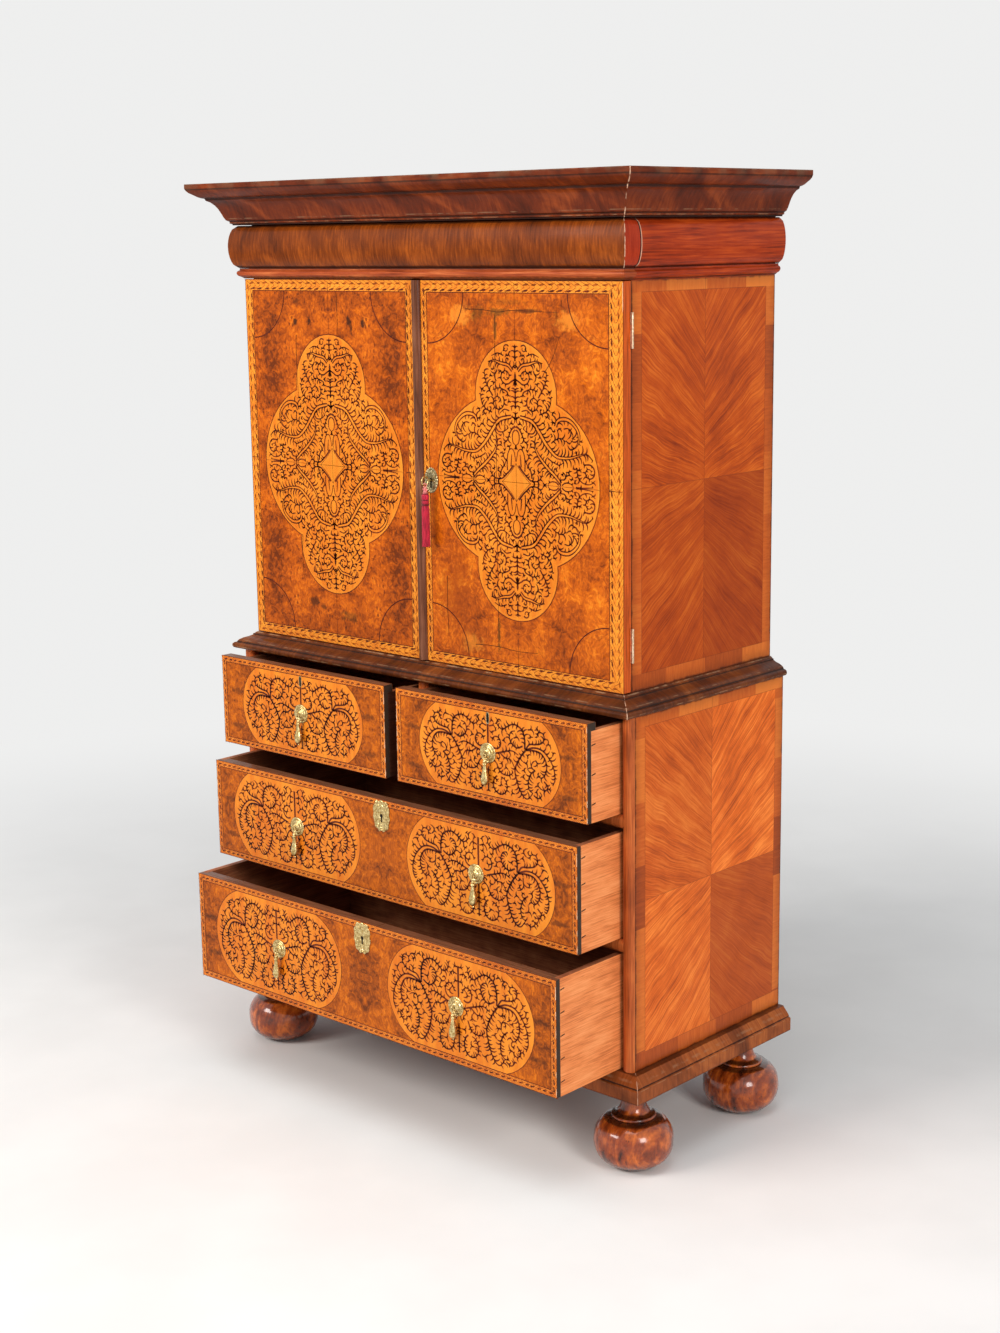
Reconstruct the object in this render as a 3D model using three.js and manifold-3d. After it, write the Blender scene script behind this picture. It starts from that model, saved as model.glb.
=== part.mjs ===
// Cabinet on chest: a cupboard with two doors and a cushion frieze drawer, on a chest of four drawers with bun feet.
// Lengths are millimetres. X runs to the right, Y to the back and Z up, from the plane of the floor.
import * as THREE from "three";
import { mergeVertices } from "three/addons/utils/BufferGeometryUtils.js";
import Module from "manifold-3d";

const wasm = await Module();
wasm.setup();

// Driving dimensions of the two carcasses. The setback is how far the door faces lie behind the chest's front edges.
const chest = { width: 981.8, depth: 428.5, side: 24, floor: 19.7, back: 10 };
const cabinet = { width: 922.2, side: 20, floor: 18, back: 10, setback: 7.4 };

// Running clearances: under a drawer and round a pin, behind a shut door, above and below it, between the two doors.
const clear = { slip: 0.3, behindDoor: 0.5, doorEnd: 1.5, doorMeeting: 1, overFrieze: 1.2, frieze: 0.5 };
const overrun = 5; // how far a cutter runs past the face that it opens

// Bun feet, their centres set in from the chest's sides, front and back. Fullness squares the ball's section.
const foot = {
  height: 143.5, insetSide: 31, insetFront: 34, insetBack: 76, ball: 70.6, ballHeight: 97, fullness: 2.4, tread: 29,
  ring: 40, ringHeight: 6.5, coveHeight: 30, neck: 21, seat: 24, facets: 24, bands: 12,
};

// Base board with its worked edge, outward from the chest's faces and upward from the feet.
const base = { plinth: 25, overhang: 27.8 };
const baseProfileShares = [
  [1, 0], [1, 0.53], [0.92, 0.56], [0.86, 0.57], [0.86, 0.62], [0.8, 0.68], [0.69, 0.77],
  [0.56, 0.86], [0.47, 0.92], [0.43, 0.95], [0.43, 0.975], [0.27, 1],
];

// Drawer divisions and the half-round beads on their front edges.
const rail = { thick: 24, depth: 52, dust: 12 };
const bead = { proud: 9, arcs: 6 };

// Drawers of the chest, from the bottom up: front height, gap above, and how far each stands open.
const drawerRows = {
  lower: { height: 208.5, headroom: 4.1, pull: 170.6 },
  upper: { height: 187.8, headroom: 8.2, pull: 114.4 },
  short: { height: 171.5, headroom: 0.6, pullLeft: 89.1, pullRight: 86.7, sideDrop: 14 },
};
const drawer = {
  sideGap: 6.85, dividerGap: 1.95, front: 22, lap: 10, side: 12, back: 12, bottom: 8, bottomLift: 3, depth: 400,
};

// Waist board under the cupboard, its worked edge measured out from the cupboard's faces.
const waist = { board: 13.7, rise: 18.4, overhang: 38 };
const waistProfileShares = [
  [0.87, 0], [0.96, 0.05], [1, 0.16], [0.985, 0.28], [0.91, 0.35], [0.82, 0.37], [0.8, 0.43], [0.74, 0.52],
  [0.58, 0.63], [0.37, 0.71], [0.22, 0.8], [0.22, 0.87], [0.145, 0.9], [0.12, 0.95], [0.05, 1],
];

// Cupboard doors and the shelf behind them.
const door = { thick: 20, height: 678.6, meetingX: -15.6 };
const meeting = { width: 19.5, proud: 8.5, arcs: 8 };
const shelf = { thick: 16, setback: 46, share: 0.5 };

// Frieze: the board with the neck moulding, the cushion drawer above it and the cornice.
const neck = { thick: 18.8, overhang: 11.6 };
const neckProfileShares = [
  [0.1, 0], [0.46, 0.16], [0.83, 0.28], [1, 0.45], [1, 0.6], [0.86, 0.74], [0.62, 0.82], [0.62, 1],
];
const cushion = { height: 78.2, fillet: 7.7, bulge: 14.3, bands: 12 };
const friezeDrawer = { sideGap: 1.5, headroom: 6, depth: 372, side: 10, bottom: 7, bottomLift: 3, inner: 12 };
const cornice = { height: 76.5, overhang: 76.8, frame: 60, board: 18, backWall: 12 };
const corniceProfileShares = [
  [0.19, 0], [0.19, 0.03], [0.24, 0.045], [0.24, 0.09], [0.3, 0.12], [0.345, 0.2], [0.385, 0.3], [0.43, 0.4],
  [0.49, 0.49], [0.56, 0.56], [0.64, 0.6], [0.655, 0.65], [0.71, 0.66], [0.78, 0.69], [0.86, 0.745],
  [0.93, 0.79], [0.975, 0.84], [0.99, 0.87], [1, 0.89], [1, 1],
];

// Brass butts at the doors' outer edges, their barrels standing just outside the carcass.
const hinge = { length: 58, inset: 50, leaf: 16, thick: 1.5, barrel: 2.4, pin: 1.1, bore: 1.5, facets: 10 };

// Door lock on the back of the right door: its case, bolt, keyhole and oval plate.
const lock = {
  share: 0.4844, x: 22, left: -12, right: 48, height: 64, thick: 15, boltThick: 6, boltHeight: 10, boltLift: 6,
  boltTail: 42, groove: 6.8, wardDeep: 7, wardRadius: 10.5,
};
const keyhole = { bore: 3.2, slit: 3.4, drop: 10.5, facets: 12 };
const oval = { width: 33, height: 46, thick: 4, facets: 24 };
const ovalProfileShares = [[0, 0], [1, 0], [1, 0.4], [0.9, 0.62], [0.78, 0.62], [0.6, 0.85], [0.3, 1], [0, 1]];
const key = { shank: 2.4, bow: 8, bowTube: 1.6, bowX: 0, reach: 9, bit: 2.6, bitDeep: 5, tip: 2.5, facets: 10 };

// Silk tassel on the key's bow.
const tassel = { loop: 3.4, loopTube: 1.1, stem: 1.6, drop: 9, head: 8, waist: 5.5, skirt: 9.5, length: 92, facets: 12 };

// Pear drops on turned roses: sizes out from the drawer's face and down from the staple.
const rose = { radius: 18, proud: 7, facets: 20, staple: 3.2, stapleTube: 1, standoff: 9, sideShare: 0.5, lift: 1.6 };
const roseProfileShares = [
  [0, 0], [1, 0], [1, 0.22], [0.93, 0.36], [0.8, 0.3], [0.66, 0.34], [0.6, 0.56], [0.42, 0.56], [0.36, 0.84],
  [0.2, 1], [0, 1],
];
const pear = { length: 53, loop: 2.8, loopTube: 0.95, radius: 7.6, facets: 12 };
const pearProfileShares = [
  [0, 0], [0.22, 0.02], [0.24, 0.05], [0.14, 0.075], [0.6, 0.11], [0.9, 0.17], [1, 0.25], [0.92, 0.36],
  [0.7, 0.52], [0.48, 0.67], [0.38, 0.76], [0.4, 0.8], [0.58, 0.83], [0.58, 0.87], [0.36, 0.9], [0.3, 1], [0, 1],
];

// Cast plates on the long drawers, and the narrow keyholes of the short ones.
const plate = { width: 43, height: 60, thick: 2, boss: 3.4, bossShare: 0.62, down: 30, shift: -1.8 };
const plateOutlineShares = [
  [0, -0.5], [0.16, -0.43], [0.3, -0.3], [0.44, -0.2], [0.5, 0], [0.5, 0.22], [0.44, 0.38], [0.3, 0.47],
  [0.14, 0.46], [0, 0.5], [-0.14, 0.46], [-0.3, 0.47], [-0.44, 0.38], [-0.5, 0.22], [-0.5, 0], [-0.44, -0.2],
  [-0.3, -0.3], [-0.16, -0.43],
];
const slot = { width: 3.6, height: 18, deep: 12, down: 20.5 };

// Places worked out from the sizes above
const sides = [["left", -1], ["right", 1]];
const chestHalf = chest.width / 2;
const chestIn = chestHalf - chest.side;
const cabHalf = cabinet.width / 2;
const cabIn = cabHalf - cabinet.side;
const backInside = chest.depth - chest.back;
const doorFace = cabinet.setback;
const doorBack = doorFace + door.thick;
const carcassFront = doorBack + clear.behindDoor;
const plinthTop = foot.height + base.plinth;
const floorTop = plinthTop + chest.floor;
const lowerZ = floorTop + clear.slip;
const lowerRail = lowerZ + drawerRows.lower.height + drawerRows.lower.headroom;
const upperZ = lowerRail + rail.thick + clear.slip;
const upperRail = upperZ + drawerRows.upper.height + drawerRows.upper.headroom;
const shortZ = upperRail + rail.thick + clear.slip;
const chestTop = shortZ + drawerRows.short.height + drawerRows.short.headroom;
const cabinetZ = chestTop + waist.board;
const waistTop = cabinetZ + waist.rise;
const doorZ = waistTop + clear.doorEnd;
const doorTop = doorZ + door.height;
const neckZ = doorTop + clear.doorEnd;
const neckTop = neckZ + neck.thick;
const friezeZ = neckTop + clear.frieze;
const cushionTop = friezeZ + cushion.height;
const corniceZ = cushionTop + clear.overFrieze;
const topZ = corniceZ + cornice.height;
const pinX = cabHalf + hinge.barrel + clear.slip;
const pinY = (doorBack + carcassFront) / 2;
const hingeHeights = [["lower", doorZ + hinge.inset], ["upper", doorTop - hinge.inset - hinge.length]];
const lockZ = doorZ + lock.share * door.height;
const pearReach = rose.standoff + pear.radius;
const frontReach = drawerRows.lower.pull + pearReach;

// Finishes
const finish = (color, roughness, metalness = 0) => new THREE.MeshStandardMaterial({ color, roughness, metalness });
const burr = finish(0xb9662a, 0.32);
const sideVeneer = finish(0xb5602c, 0.33);
const walnut = finish(0x6a3320, 0.36);
const cushionWood = finish(0x96481f, 0.34);
const polished = finish(0x7d3216, 0.22);
const oak = finish(0xc08a66, 0.62);
const pine = finish(0xa98055, 0.7);
const brass = finish(0xbfa468, 0.3, 1);
const steel = finish(0x77736b, 0.45, 1);
const silk = finish(0xb9323f, 0.8);

const cabinetOnChest = new THREE.Group();

// The origin stands on the floor, under the middle of everything that the open drawers reach.
cabinetOnChest.position.y = (frontReach - chest.depth) / 2;

// Adds one named piece to the cabinet.
function add(name, geometry, material) {
  const piece = new THREE.Mesh(geometry, material);
  piece.name = name;
  cabinetOnChest.add(piece);
}

// A board between two values along each axis, given in either order.
function board(x, y, z) {
  const ends = [x, y, z].map(([a, b]) => [Math.min(a, b), Math.max(a, b)]);
  const made = new THREE.BoxGeometry(1, 1, 1);
  const place = made.attributes.position;
  for (let i = 0; i < place.count; i += 1) {
    place.setXYZ(i, ends[0][+(place.getX(i) > 0)], ends[1][+(place.getY(i) > 0)], ends[2][+(place.getZ(i) > 0)]);
  }
  return made;
}

// An outline of pairs carried from a start to a larger end: [y, z] along X, [x, z] along Y or [x, y] along Z.
function prism(axis, outline, start, end) {
  const shape = new THREE.Shape(outline.map(([a, b]) => new THREE.Vector2(a, b)));
  const made = new THREE.ExtrudeGeometry(shape, { depth: 1, bevelEnabled: false });
  const place = made.attributes.position;
  for (let i = 0; i < place.count; i += 1) {
    const [a, b, far] = [place.getX(i), place.getY(i), place.getZ(i) > 0];
    if (axis === "X") place.setXYZ(i, far ? end : start, a, b);
    if (axis === "Y") place.setXYZ(i, a, far ? start : end, b);
    if (axis === "Z") place.setXYZ(i, a, b, far ? end : start);
  }
  return made;
}

// A round bar between two points.
function bar(from, to, radius, facets) {
  const [a, b] = [new THREE.Vector3(...from), new THREE.Vector3(...to)];
  const made = new THREE.CylinderGeometry(radius, radius, a.distanceTo(b), facets);
  const turn = new THREE.Quaternion().setFromUnitVectors(new THREE.Vector3(0, 1, 0), b.clone().sub(a).normalize());
  return made.applyQuaternion(turn).translate(...a.add(b).divideScalar(2).toArray());
}

// A turning from [radius, height] pairs: standing up along Z, or facing forwards along -Y.
function turning(points, facets, forwards) {
  const made = new THREE.LatheGeometry(points.map(([r, h]) => new THREE.Vector2(r, h)), facets);
  return made.rotateX(forwards ? Math.PI : Math.PI / 2);
}

// A ring of round section whose plane is square to X, or to Y where it is flat to the front.
function ring(radius, tube, flatToFront, facets = 12, sectionFacets = 6) {
  const made = new THREE.TorusGeometry(radius, tube, sectionFacets, facets);
  return flatToFront ? made.rotateX(Math.PI / 2) : made.rotateY(Math.PI / 2);
}

// The closed solid of a geometry, and the geometry of a solid.
function solidOf(geometry) {
  const loose = geometry.index ? geometry.toNonIndexed() : geometry.clone();
  loose.deleteAttribute("normal");
  loose.deleteAttribute("uv");
  const merged = mergeVertices(loose);
  const triVerts = new Uint32Array(merged.index.array);
  return new wasm.Manifold(
    new wasm.Mesh({ numProp: 3, vertProperties: merged.attributes.position.array, triVerts }),
  );
}
function geometryOf(solid) {
  const mesh = solid.getMesh();
  const made = new THREE.BufferGeometry();
  made.setAttribute("position", new THREE.BufferAttribute(mesh.vertProperties, mesh.numProp));
  made.setIndex(new THREE.BufferAttribute(mesh.triVerts, 1));
  return made;
}
const joined = (...pieces) => geometryOf(pieces.map(solidOf).reduce((all, next) => all.add(next)));
const cutBy = (piece, ...tools) => geometryOf(tools.map(solidOf).reduce((all, tool) => all.subtract(tool), solidOf(piece)));
const overlap = (one, other) => geometryOf(solidOf(one).intersect(solidOf(other)));

// A block with a moulded edge on its front and both sides, mitred at the corners and flat at the back.
// The profile is [overhang, height] pairs from the bottom up.
function mouldedBlock(profile, half, front, back) {
  const reach = Math.max(...profile.map(([out]) => out)) + overrun;
  const [low, high] = [profile[0][1], profile[profile.length - 1][1]];
  const lengthwise = prism(
    "X",
    [...profile.map(([out, z]) => [front - out, z]), [back, high], [back, low]],
    -half - reach,
    half + reach,
  );
  const right = profile.map(([out, z]) => [half + out, z]);
  const left = profile.map(([out, z]) => [-half - out, z]).reverse();
  return overlap(lengthwise, prism("Y", [...right, ...left], front - reach, back + overrun));
}
const profileOf = (shares, out, height, z) => shares.map(([a, b]) => [a * out, z + b * height]);

// Half-round outline between two values, bulging by the proud amount.
function halfRound(low, high, proud, arcs) {
  const [middle, half] = [(low + high) / 2, (high - low) / 2];
  return Array.from({ length: arcs + 1 }, (_, i) => {
    const angle = (Math.PI * i) / arcs;
    return [middle - half * Math.cos(angle), proud * Math.sin(angle)];
  });
}

// Cushion section: an arc that stands out by the bulge at half height, above a fillet at both ends.
const cushionProfile = Array.from({ length: cushion.bands + 1 }, (_, i) => {
  const share = i / cushion.bands;
  return [cushion.fillet + cushion.bulge * Math.sqrt(1 - (2 * share - 1) ** 2), friezeZ + share * cushion.height];
});
const neckProfile = profileOf(neckProfileShares, neck.overhang, neck.thick, neckZ);

// Bun foot: a flattened ball on a small tread, a ring, and a hollow neck up to the base board.
function bunFoot() {
  const middle = foot.ballHeight / 2;
  const rounded = (share) => (1 - Math.abs(share) ** foot.fullness) ** (1 / foot.fullness);
  const semi = middle / rounded(foot.tread / foot.ball);
  const ball = Array.from({ length: foot.bands + 1 }, (_, i) => {
    const z = (foot.ballHeight * i) / foot.bands;
    return [foot.ball * rounded((z - middle) / semi), z];
  }).filter(([r, z]) => z < middle || r > foot.ring);
  const ringZ = foot.ballHeight - foot.ringHeight;
  const ringTop = ringZ + foot.ringHeight;
  const coveTop = ringTop + foot.coveHeight;
  const collar = halfRound(ringZ, ringTop, foot.ringHeight / 2, bead.arcs)
    .map(([z, out]) => [foot.ring - foot.ringHeight / 2 + out, z]);
  const cove = Array.from({ length: bead.arcs + 1 }, (_, i) => {
    const angle = (Math.PI / 2) * (i / bead.arcs);
    const spread = foot.ring - foot.ringHeight / 2 - foot.neck;
    return [foot.neck + spread * (1 - Math.sin(angle)), coveTop - foot.coveHeight * Math.cos(angle)];
  });
  const profile = [
    [0, 0],
    ...ball.filter(([, z]) => z < ringZ),
    ...collar,
    ...cove.slice(1),
    [foot.seat, foot.height],
    [0, foot.height],
  ];
  return turning(profile, foot.facets);
}
for (const [side, s] of sides) {
  const x = s * (chestHalf - foot.insetSide);
  add(`bun_foot_front_${side}`, bunFoot().translate(x, foot.insetFront, 0), polished);
  add(`bun_foot_back_${side}`, bunFoot().translate(x, chest.depth - foot.insetBack, 0), polished);
}

// Base board, hollowed on top to take the chest
const baseHeight = floorTop - foot.height;
const baseBlock = mouldedBlock(profileOf(baseProfileShares, base.overhang, baseHeight, foot.height), chestHalf, 0, chest.depth);
const chestSeat = chestHalf + clear.slip;
add(
  "base_moulding",
  cutBy(baseBlock, board([-chestSeat, chestSeat], [0, chest.depth + overrun], [plinthTop, floorTop + overrun])),
  walnut,
);

// Chest carcass
for (const [side, s] of sides) {
  add(`chest_side_${side}`, board([s * chestIn, s * chestHalf], [0, chest.depth], [plinthTop, chestTop]), sideVeneer);
}
add("chest_bottom", board([-chestIn, chestIn], [0, backInside], [plinthTop, floorTop]), oak);
add("chest_back", board([-chestIn, chestIn], [backInside, chest.depth], [plinthTop, chestTop]), pine);

// Dust boards behind deeper front rails; the upper one carries the division between the short drawers
const dustBoard = (z) => [
  board([-chestIn, chestIn], [0, rail.depth], [z, z + rail.thick]),
  board([-chestIn, chestIn], [rail.depth / 2, backInside], [z + rail.thick - rail.dust, z + rail.thick]),
];
const division = board([-rail.thick / 2, rail.thick / 2], [0, backInside], [upperRail + rail.thick / 2, chestTop]);
add("dustboard_lower", joined(...dustBoard(lowerRail)), oak);
add("dustboard_upper", joined(...dustBoard(upperRail), division), oak);

// Half-round beads on the front edges of the sides, rails and division
const beadAcross = (low, high) => halfRound(low, high, -bead.proud, bead.arcs);
const uprightBead = (low, high, z) => prism("Z", beadAcross(low, high), z, chestTop);
const railBead = (z) => prism(
  "X",
  beadAcross(z, z + rail.thick).map(([height, y]) => [y, height]),
  -chestIn - chest.side / 2,
  chestIn + chest.side / 2,
);
add(
  "bead_frame",
  joined(
    uprightBead(-chestHalf, -chestIn, floorTop),
    uprightBead(chestIn, chestHalf, floorTop),
    uprightBead(-rail.thick / 2, rail.thick / 2, upperRail + rail.thick / 2),
    railBead(lowerRail),
    railBead(upperRail),
  ),
  walnut,
);

// Waist board: the chest's top, with a worked edge that rises round the foot of the cupboard
const waistBlock = mouldedBlock(
  profileOf(waistProfileShares, waist.overhang, waist.board + waist.rise, chestTop),
  cabHalf,
  doorFace,
  chest.depth,
);
const cabinetSeat = cabHalf + clear.slip;
add(
  "waist_moulding",
  cutBy(
    waistBlock,
    board([-cabinetSeat, cabinetSeat], [carcassFront - clear.slip, chest.depth + overrun], [cabinetZ, waistTop + overrun]),
  ),
  walnut,
);

// Places of a butt hinge on one side: across X from the door's edge inwards, and its leaves in Y
const leafX = (s) => [s * (cabHalf - hinge.leaf), s * cabHalf];
const leafSeatX = (s) => [s * (cabHalf - hinge.leaf - clear.slip), s * (cabHalf + overrun)];
const leafSeatZ = (z) => [z - clear.slip, z + hinge.length + clear.slip];
const fixedLeafY = [carcassFront, carcassFront + hinge.thick];
const doorLeafY = [doorBack - hinge.thick, doorBack];
const fixedSeat = (s, z) => board(leafSeatX(s), [carcassFront - overrun, fixedLeafY[1]], leafSeatZ(z));
const doorSeat = (s, z) => board(leafSeatX(s), [doorLeafY[0], doorBack + overrun], leafSeatZ(z));

// Cupboard sides, each in one with its return of the neck moulding and its side cushion
for (const [side, s] of sides) {
  const wall = board([s * cabIn, s * cabHalf], [carcassFront, chest.depth], [cabinetZ, corniceZ]);
  const rootX = cabHalf - cabinet.side / 2;
  const returnOf = (profile) => prism(
    "Y",
    [
      ...profile.map(([out, z]) => [s * (cabHalf + out), z]),
      [s * rootX, profile[profile.length - 1][1]],
      [s * rootX, profile[0][1]],
    ],
    carcassFront,
    chest.depth,
  );
  add(
    `cabinet_side_${side}`,
    cutBy(
      joined(wall, returnOf(neckProfile), returnOf(cushionProfile)),
      ...hingeHeights.map(([, z]) => fixedSeat(s, z)),
    ),
    sideVeneer,
  );
}
add("cabinet_bottom", board([-cabIn, cabIn], [carcassFront, backInside], [cabinetZ, cabinetZ + cabinet.floor]), oak);
add("cabinet_back", board([-cabIn, cabIn], [chest.depth - cabinet.back, chest.depth], [cabinetZ, corniceZ]), pine);
const shelfZ = cabinetZ + cabinet.floor + shelf.share * (neckZ - cabinetZ - cabinet.floor) - shelf.thick / 2;
const cabinetBackInside = chest.depth - cabinet.back;
add(
  "shelf",
  board([-cabIn, cabIn], [carcassFront + shelf.setback, cabinetBackInside], [shelfZ, shelfZ + shelf.thick]),
  oak,
);

// Frieze board between the sides, with the neck moulding worked on its front edge
add(
  "frieze_board",
  joined(
    mouldedBlock(neckProfile, cabHalf, doorFace, carcassFront),
    board([-cabIn, cabIn], [doorBack - door.thick / 2, cabinetBackInside], [neckZ, neckTop]),
  ),
  walnut,
);

// Cornice with the cupboard's top board, hollow underneath
const corniceBlock = mouldedBlock(
  profileOf(corniceProfileShares, cornice.overhang, cornice.height, corniceZ),
  cabHalf,
  doorFace,
  chest.depth,
);
add(
  "cornice",
  cutBy(
    corniceBlock,
    board([-cabIn, cabIn], [cornice.frame, chest.depth - cornice.backWall], [corniceZ - overrun, topZ - cornice.board]),
  ),
  walnut,
);

// Butt hinges: the fixed leaf carries the outer knuckles and the pin, the door's leaf the middle knuckle
const third = hinge.length / 3;
function knuckle(s, z0, z1, radius) {
  return bar([s * pinX, pinY, z0], [s * pinX, pinY, z1], radius, hinge.facets);
}
function fixedLeaf(s, z) {
  const arm = (z0, z1) => board([s * (cabHalf - hinge.thick), s * pinX], fixedLeafY, [z0, z1]);
  const [lowTop, highFoot, top] = [z + third - clear.slip / 2, z + 2 * third + clear.slip / 2, z + hinge.length];
  return joined(
    board(leafX(s), fixedLeafY, [z, top]),
    arm(z, lowTop),
    knuckle(s, z, lowTop, hinge.barrel),
    arm(highFoot, top),
    knuckle(s, highFoot, top, hinge.barrel),
    knuckle(s, z + hinge.thick, top - hinge.thick, hinge.pin),
  );
}
function doorLeaf(s, z) {
  const [foot0, head0] = [z + third + clear.slip / 2, z + 2 * third - clear.slip / 2];
  const whole = joined(
    board(leafX(s), doorLeafY, [z, z + hinge.length]),
    board([s * (cabHalf - hinge.thick), s * pinX], doorLeafY, [foot0, head0]),
    knuckle(s, foot0, head0, hinge.barrel),
  );
  return cutBy(whole, knuckle(s, z - overrun, z + hinge.length + overrun, hinge.bore));
}
for (const [side, s] of sides) {
  for (const [level, z] of hingeHeights) {
    add(`hinge_fixed_${level}_${side}`, fixedLeaf(s, z), brass);
    add(`hinge_door_${level}_${side}`, doorLeaf(s, z), brass);
  }
}

// Keyhole cutter: a round bore with a slit below it, along Y
function keyholeCutter(x, z, y0, y1) {
  return joined(
    bar([x, y0, z], [x, y1, z], keyhole.bore, keyhole.facets),
    board([x - keyhole.slit / 2, x + keyhole.slit / 2], [y0, y1], [z - keyhole.drop, z]),
  );
}

// Doors
const doorEdges = {
  left: [-cabHalf, door.meetingX - clear.doorMeeting / 2],
  right: [door.meetingX + clear.doorMeeting / 2, cabHalf],
};
for (const [side, s] of sides) {
  const cuts = hingeHeights.map(([, z]) => doorSeat(s, z));
  if (s > 0) cuts.push(keyholeCutter(lock.x, lockZ, doorFace - overrun, doorBack + overrun));
  add(`door_${side}`, cutBy(board(doorEdges[side], [doorFace, doorBack], [doorZ, doorTop]), ...cuts), burr);
}

// Meeting bead, fixed along the right door's inner edge
const meetingOutline = halfRound(doorEdges.right[0], doorEdges.right[0] + meeting.width, meeting.proud, meeting.arcs);
add(
  "meeting_bead",
  prism("Z", meetingOutline.map(([x, out]) => [x, doorFace - out]), doorZ, doorTop),
  walnut,
);

// Door lock: the case is grooved for the bolt against the door and bored for the key
const boltY = [doorBack + clear.behindDoor, doorBack + clear.behindDoor + lock.boltThick];
const boltZ = [lockZ + lock.boltLift, lockZ + lock.boltLift + lock.boltHeight];
const grooveDeep = doorBack + lock.groove;
const wardY = [grooveDeep - clear.behindDoor, grooveDeep + lock.wardDeep];
const lockBody = board(
  [lock.left, lock.right],
  [doorBack, doorBack + lock.thick],
  [lockZ - lock.height / 2, lockZ + lock.height / 2],
);
add(
  "lock_case",
  cutBy(
    lockBody,
    board(
      [lock.left - overrun, lock.left + lock.boltTail + clear.slip],
      [doorBack - overrun, grooveDeep],
      [boltZ[0] - clear.slip, boltZ[1] + clear.slip],
    ),
    bar([lock.x, wardY[0], lockZ], [lock.x, wardY[1], lockZ], lock.wardRadius, keyhole.facets),
    keyholeCutter(lock.x, lockZ, doorBack - overrun, wardY[1]),
  ),
  steel,
);
add("lock_bolt", board([lock.left, lock.left + lock.boltTail], boltY, boltZ), steel);

// Oval plate round the keyhole
const ovalTurning = turning(
  ovalProfileShares.map(([r, h]) => [(r * oval.height) / 2, h * oval.thick]),
  oval.facets,
  true,
).scale(oval.width / oval.height, 1, 1).translate(lock.x, doorFace, lockZ);
add(
  "door_escutcheon",
  cutBy(ovalTurning, keyholeCutter(lock.x, lockZ, doorFace - oval.thick - overrun, doorFace + overrun)),
  brass,
);

// Key: a ring bow standing on edge, a round shank, and a bit that hangs inside the lock
const bowY = doorFace - oval.thick - clear.behindDoor - key.tip - key.bow - key.bowTube;
const keyTip = wardY[1] - clear.slip;
add(
  "key",
  joined(
    ring(key.bow, key.bowTube, false, key.facets * 2).translate(lock.x + key.bowX, bowY, lockZ),
    bar([lock.x, bowY + key.bow, lockZ], [lock.x, keyTip, lockZ], key.shank, key.facets),
    board(
      [lock.x - key.bit / 2, lock.x + key.bit / 2],
      [keyTip - key.bitDeep, keyTip],
      [lockZ - key.reach, lockZ],
    ),
  ),
  brass,
);

// Tassel: a cord loop through the bow, then a head and a bound skirt hanging from it
const tieZ = lockZ - key.bow;
const headTop = tieZ - tassel.loop - tassel.drop;
const skirtFoot = tieZ - tassel.loop - tassel.drop - tassel.length;
const tasselProfile = [
  [0, skirtFoot],
  [tassel.skirt, skirtFoot],
  [tassel.skirt * 0.86, skirtFoot + (tassel.length - tassel.head * 2) * 0.55],
  [tassel.waist, headTop - tassel.head * 2.1],
  [tassel.head * 0.8, headTop - tassel.head * 1.6],
  [tassel.head, headTop - tassel.head],
  [tassel.head * 0.75, headTop - tassel.head * 0.35],
  [tassel.stem, headTop],
  [tassel.stem, tieZ - tassel.loop],
  [0, tieZ - tassel.loop],
];
add(
  "tassel",
  joined(
    ring(tassel.loop, tassel.loopTube, true).translate(lock.x, bowY, tieZ),
    turning(tasselProfile, tassel.facets).translate(lock.x, bowY, 0),
  ),
  silk,
);

// Rose with its staple ring, and the pear drop that hangs through it
function addHandle(name, x, face, z) {
  const disc = turning(
    roseProfileShares.map(([r, h]) => [r * rose.radius, h * rose.proud]),
    rose.facets,
    true,
  ).translate(x, face, z);
  const staple = ring(rose.staple, rose.stapleTube, false).translate(x, face - rose.standoff, z);
  add(`rose_${name}`, joined(disc, staple), brass);
  const hangZ = z - rose.staple;
  const profile = pearProfileShares.map(([r, h]) => [r * pear.radius, hangZ - pear.loop - pear.length * (1 - h)]);
  add(
    `pear_drop_${name}`,
    joined(
      ring(pear.loop, pear.loopTube, true).translate(x, face - rose.standoff, hangZ),
      turning(profile, pear.facets).translate(x, face - rose.standoff, 0),
    ),
    brass,
  );
}

// Drawer front with rebated ends that lap the box's sides; above lowered sides it runs through at full thickness.
function lappedFront([x0, x1], face, [z0, z1], sideTop) {
  const [back, shoulder] = [face + drawer.front, face + drawer.lap];
  const lapped = prism(
    "Z",
    [
      [x0, face], [x1, face], [x1, shoulder], [x1 - drawer.side, shoulder], [x1 - drawer.side, back],
      [x0 + drawer.side, back], [x0 + drawer.side, shoulder], [x0, shoulder],
    ],
    z0,
    z1,
  );
  return sideTop < z1 ? joined(lapped, board([x0, x1], [face, back], [sideTop, z1])) : lapped;
}

// Open drawer box: two sides, a back and a raised bottom, with the front's faces left free.
function drawerBox([x0, x1], face, z0, sideTop) {
  const [front, back] = [face + drawer.front, face + drawer.depth];
  const [in0, in1] = [x0 + drawer.side, x1 - drawer.side];
  const bottomZ = z0 + drawer.bottomLift;
  return joined(
    board([x0, in0], [face + drawer.lap, back], [z0, sideTop]),
    board([in1, x1], [face + drawer.lap, back], [z0, sideTop]),
    board([x0 + drawer.side / 2, x1 - drawer.side / 2], [back - drawer.back, back], [bottomZ, sideTop]),
    board([in0, in1], [front, back - drawer.back / 2], [bottomZ, bottomZ + drawer.bottom]),
    board([in0 - drawer.side / 2, in1 + drawer.side / 2], [front + drawer.side, back], [bottomZ, bottomZ + drawer.bottom]),
  );
}

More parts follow.
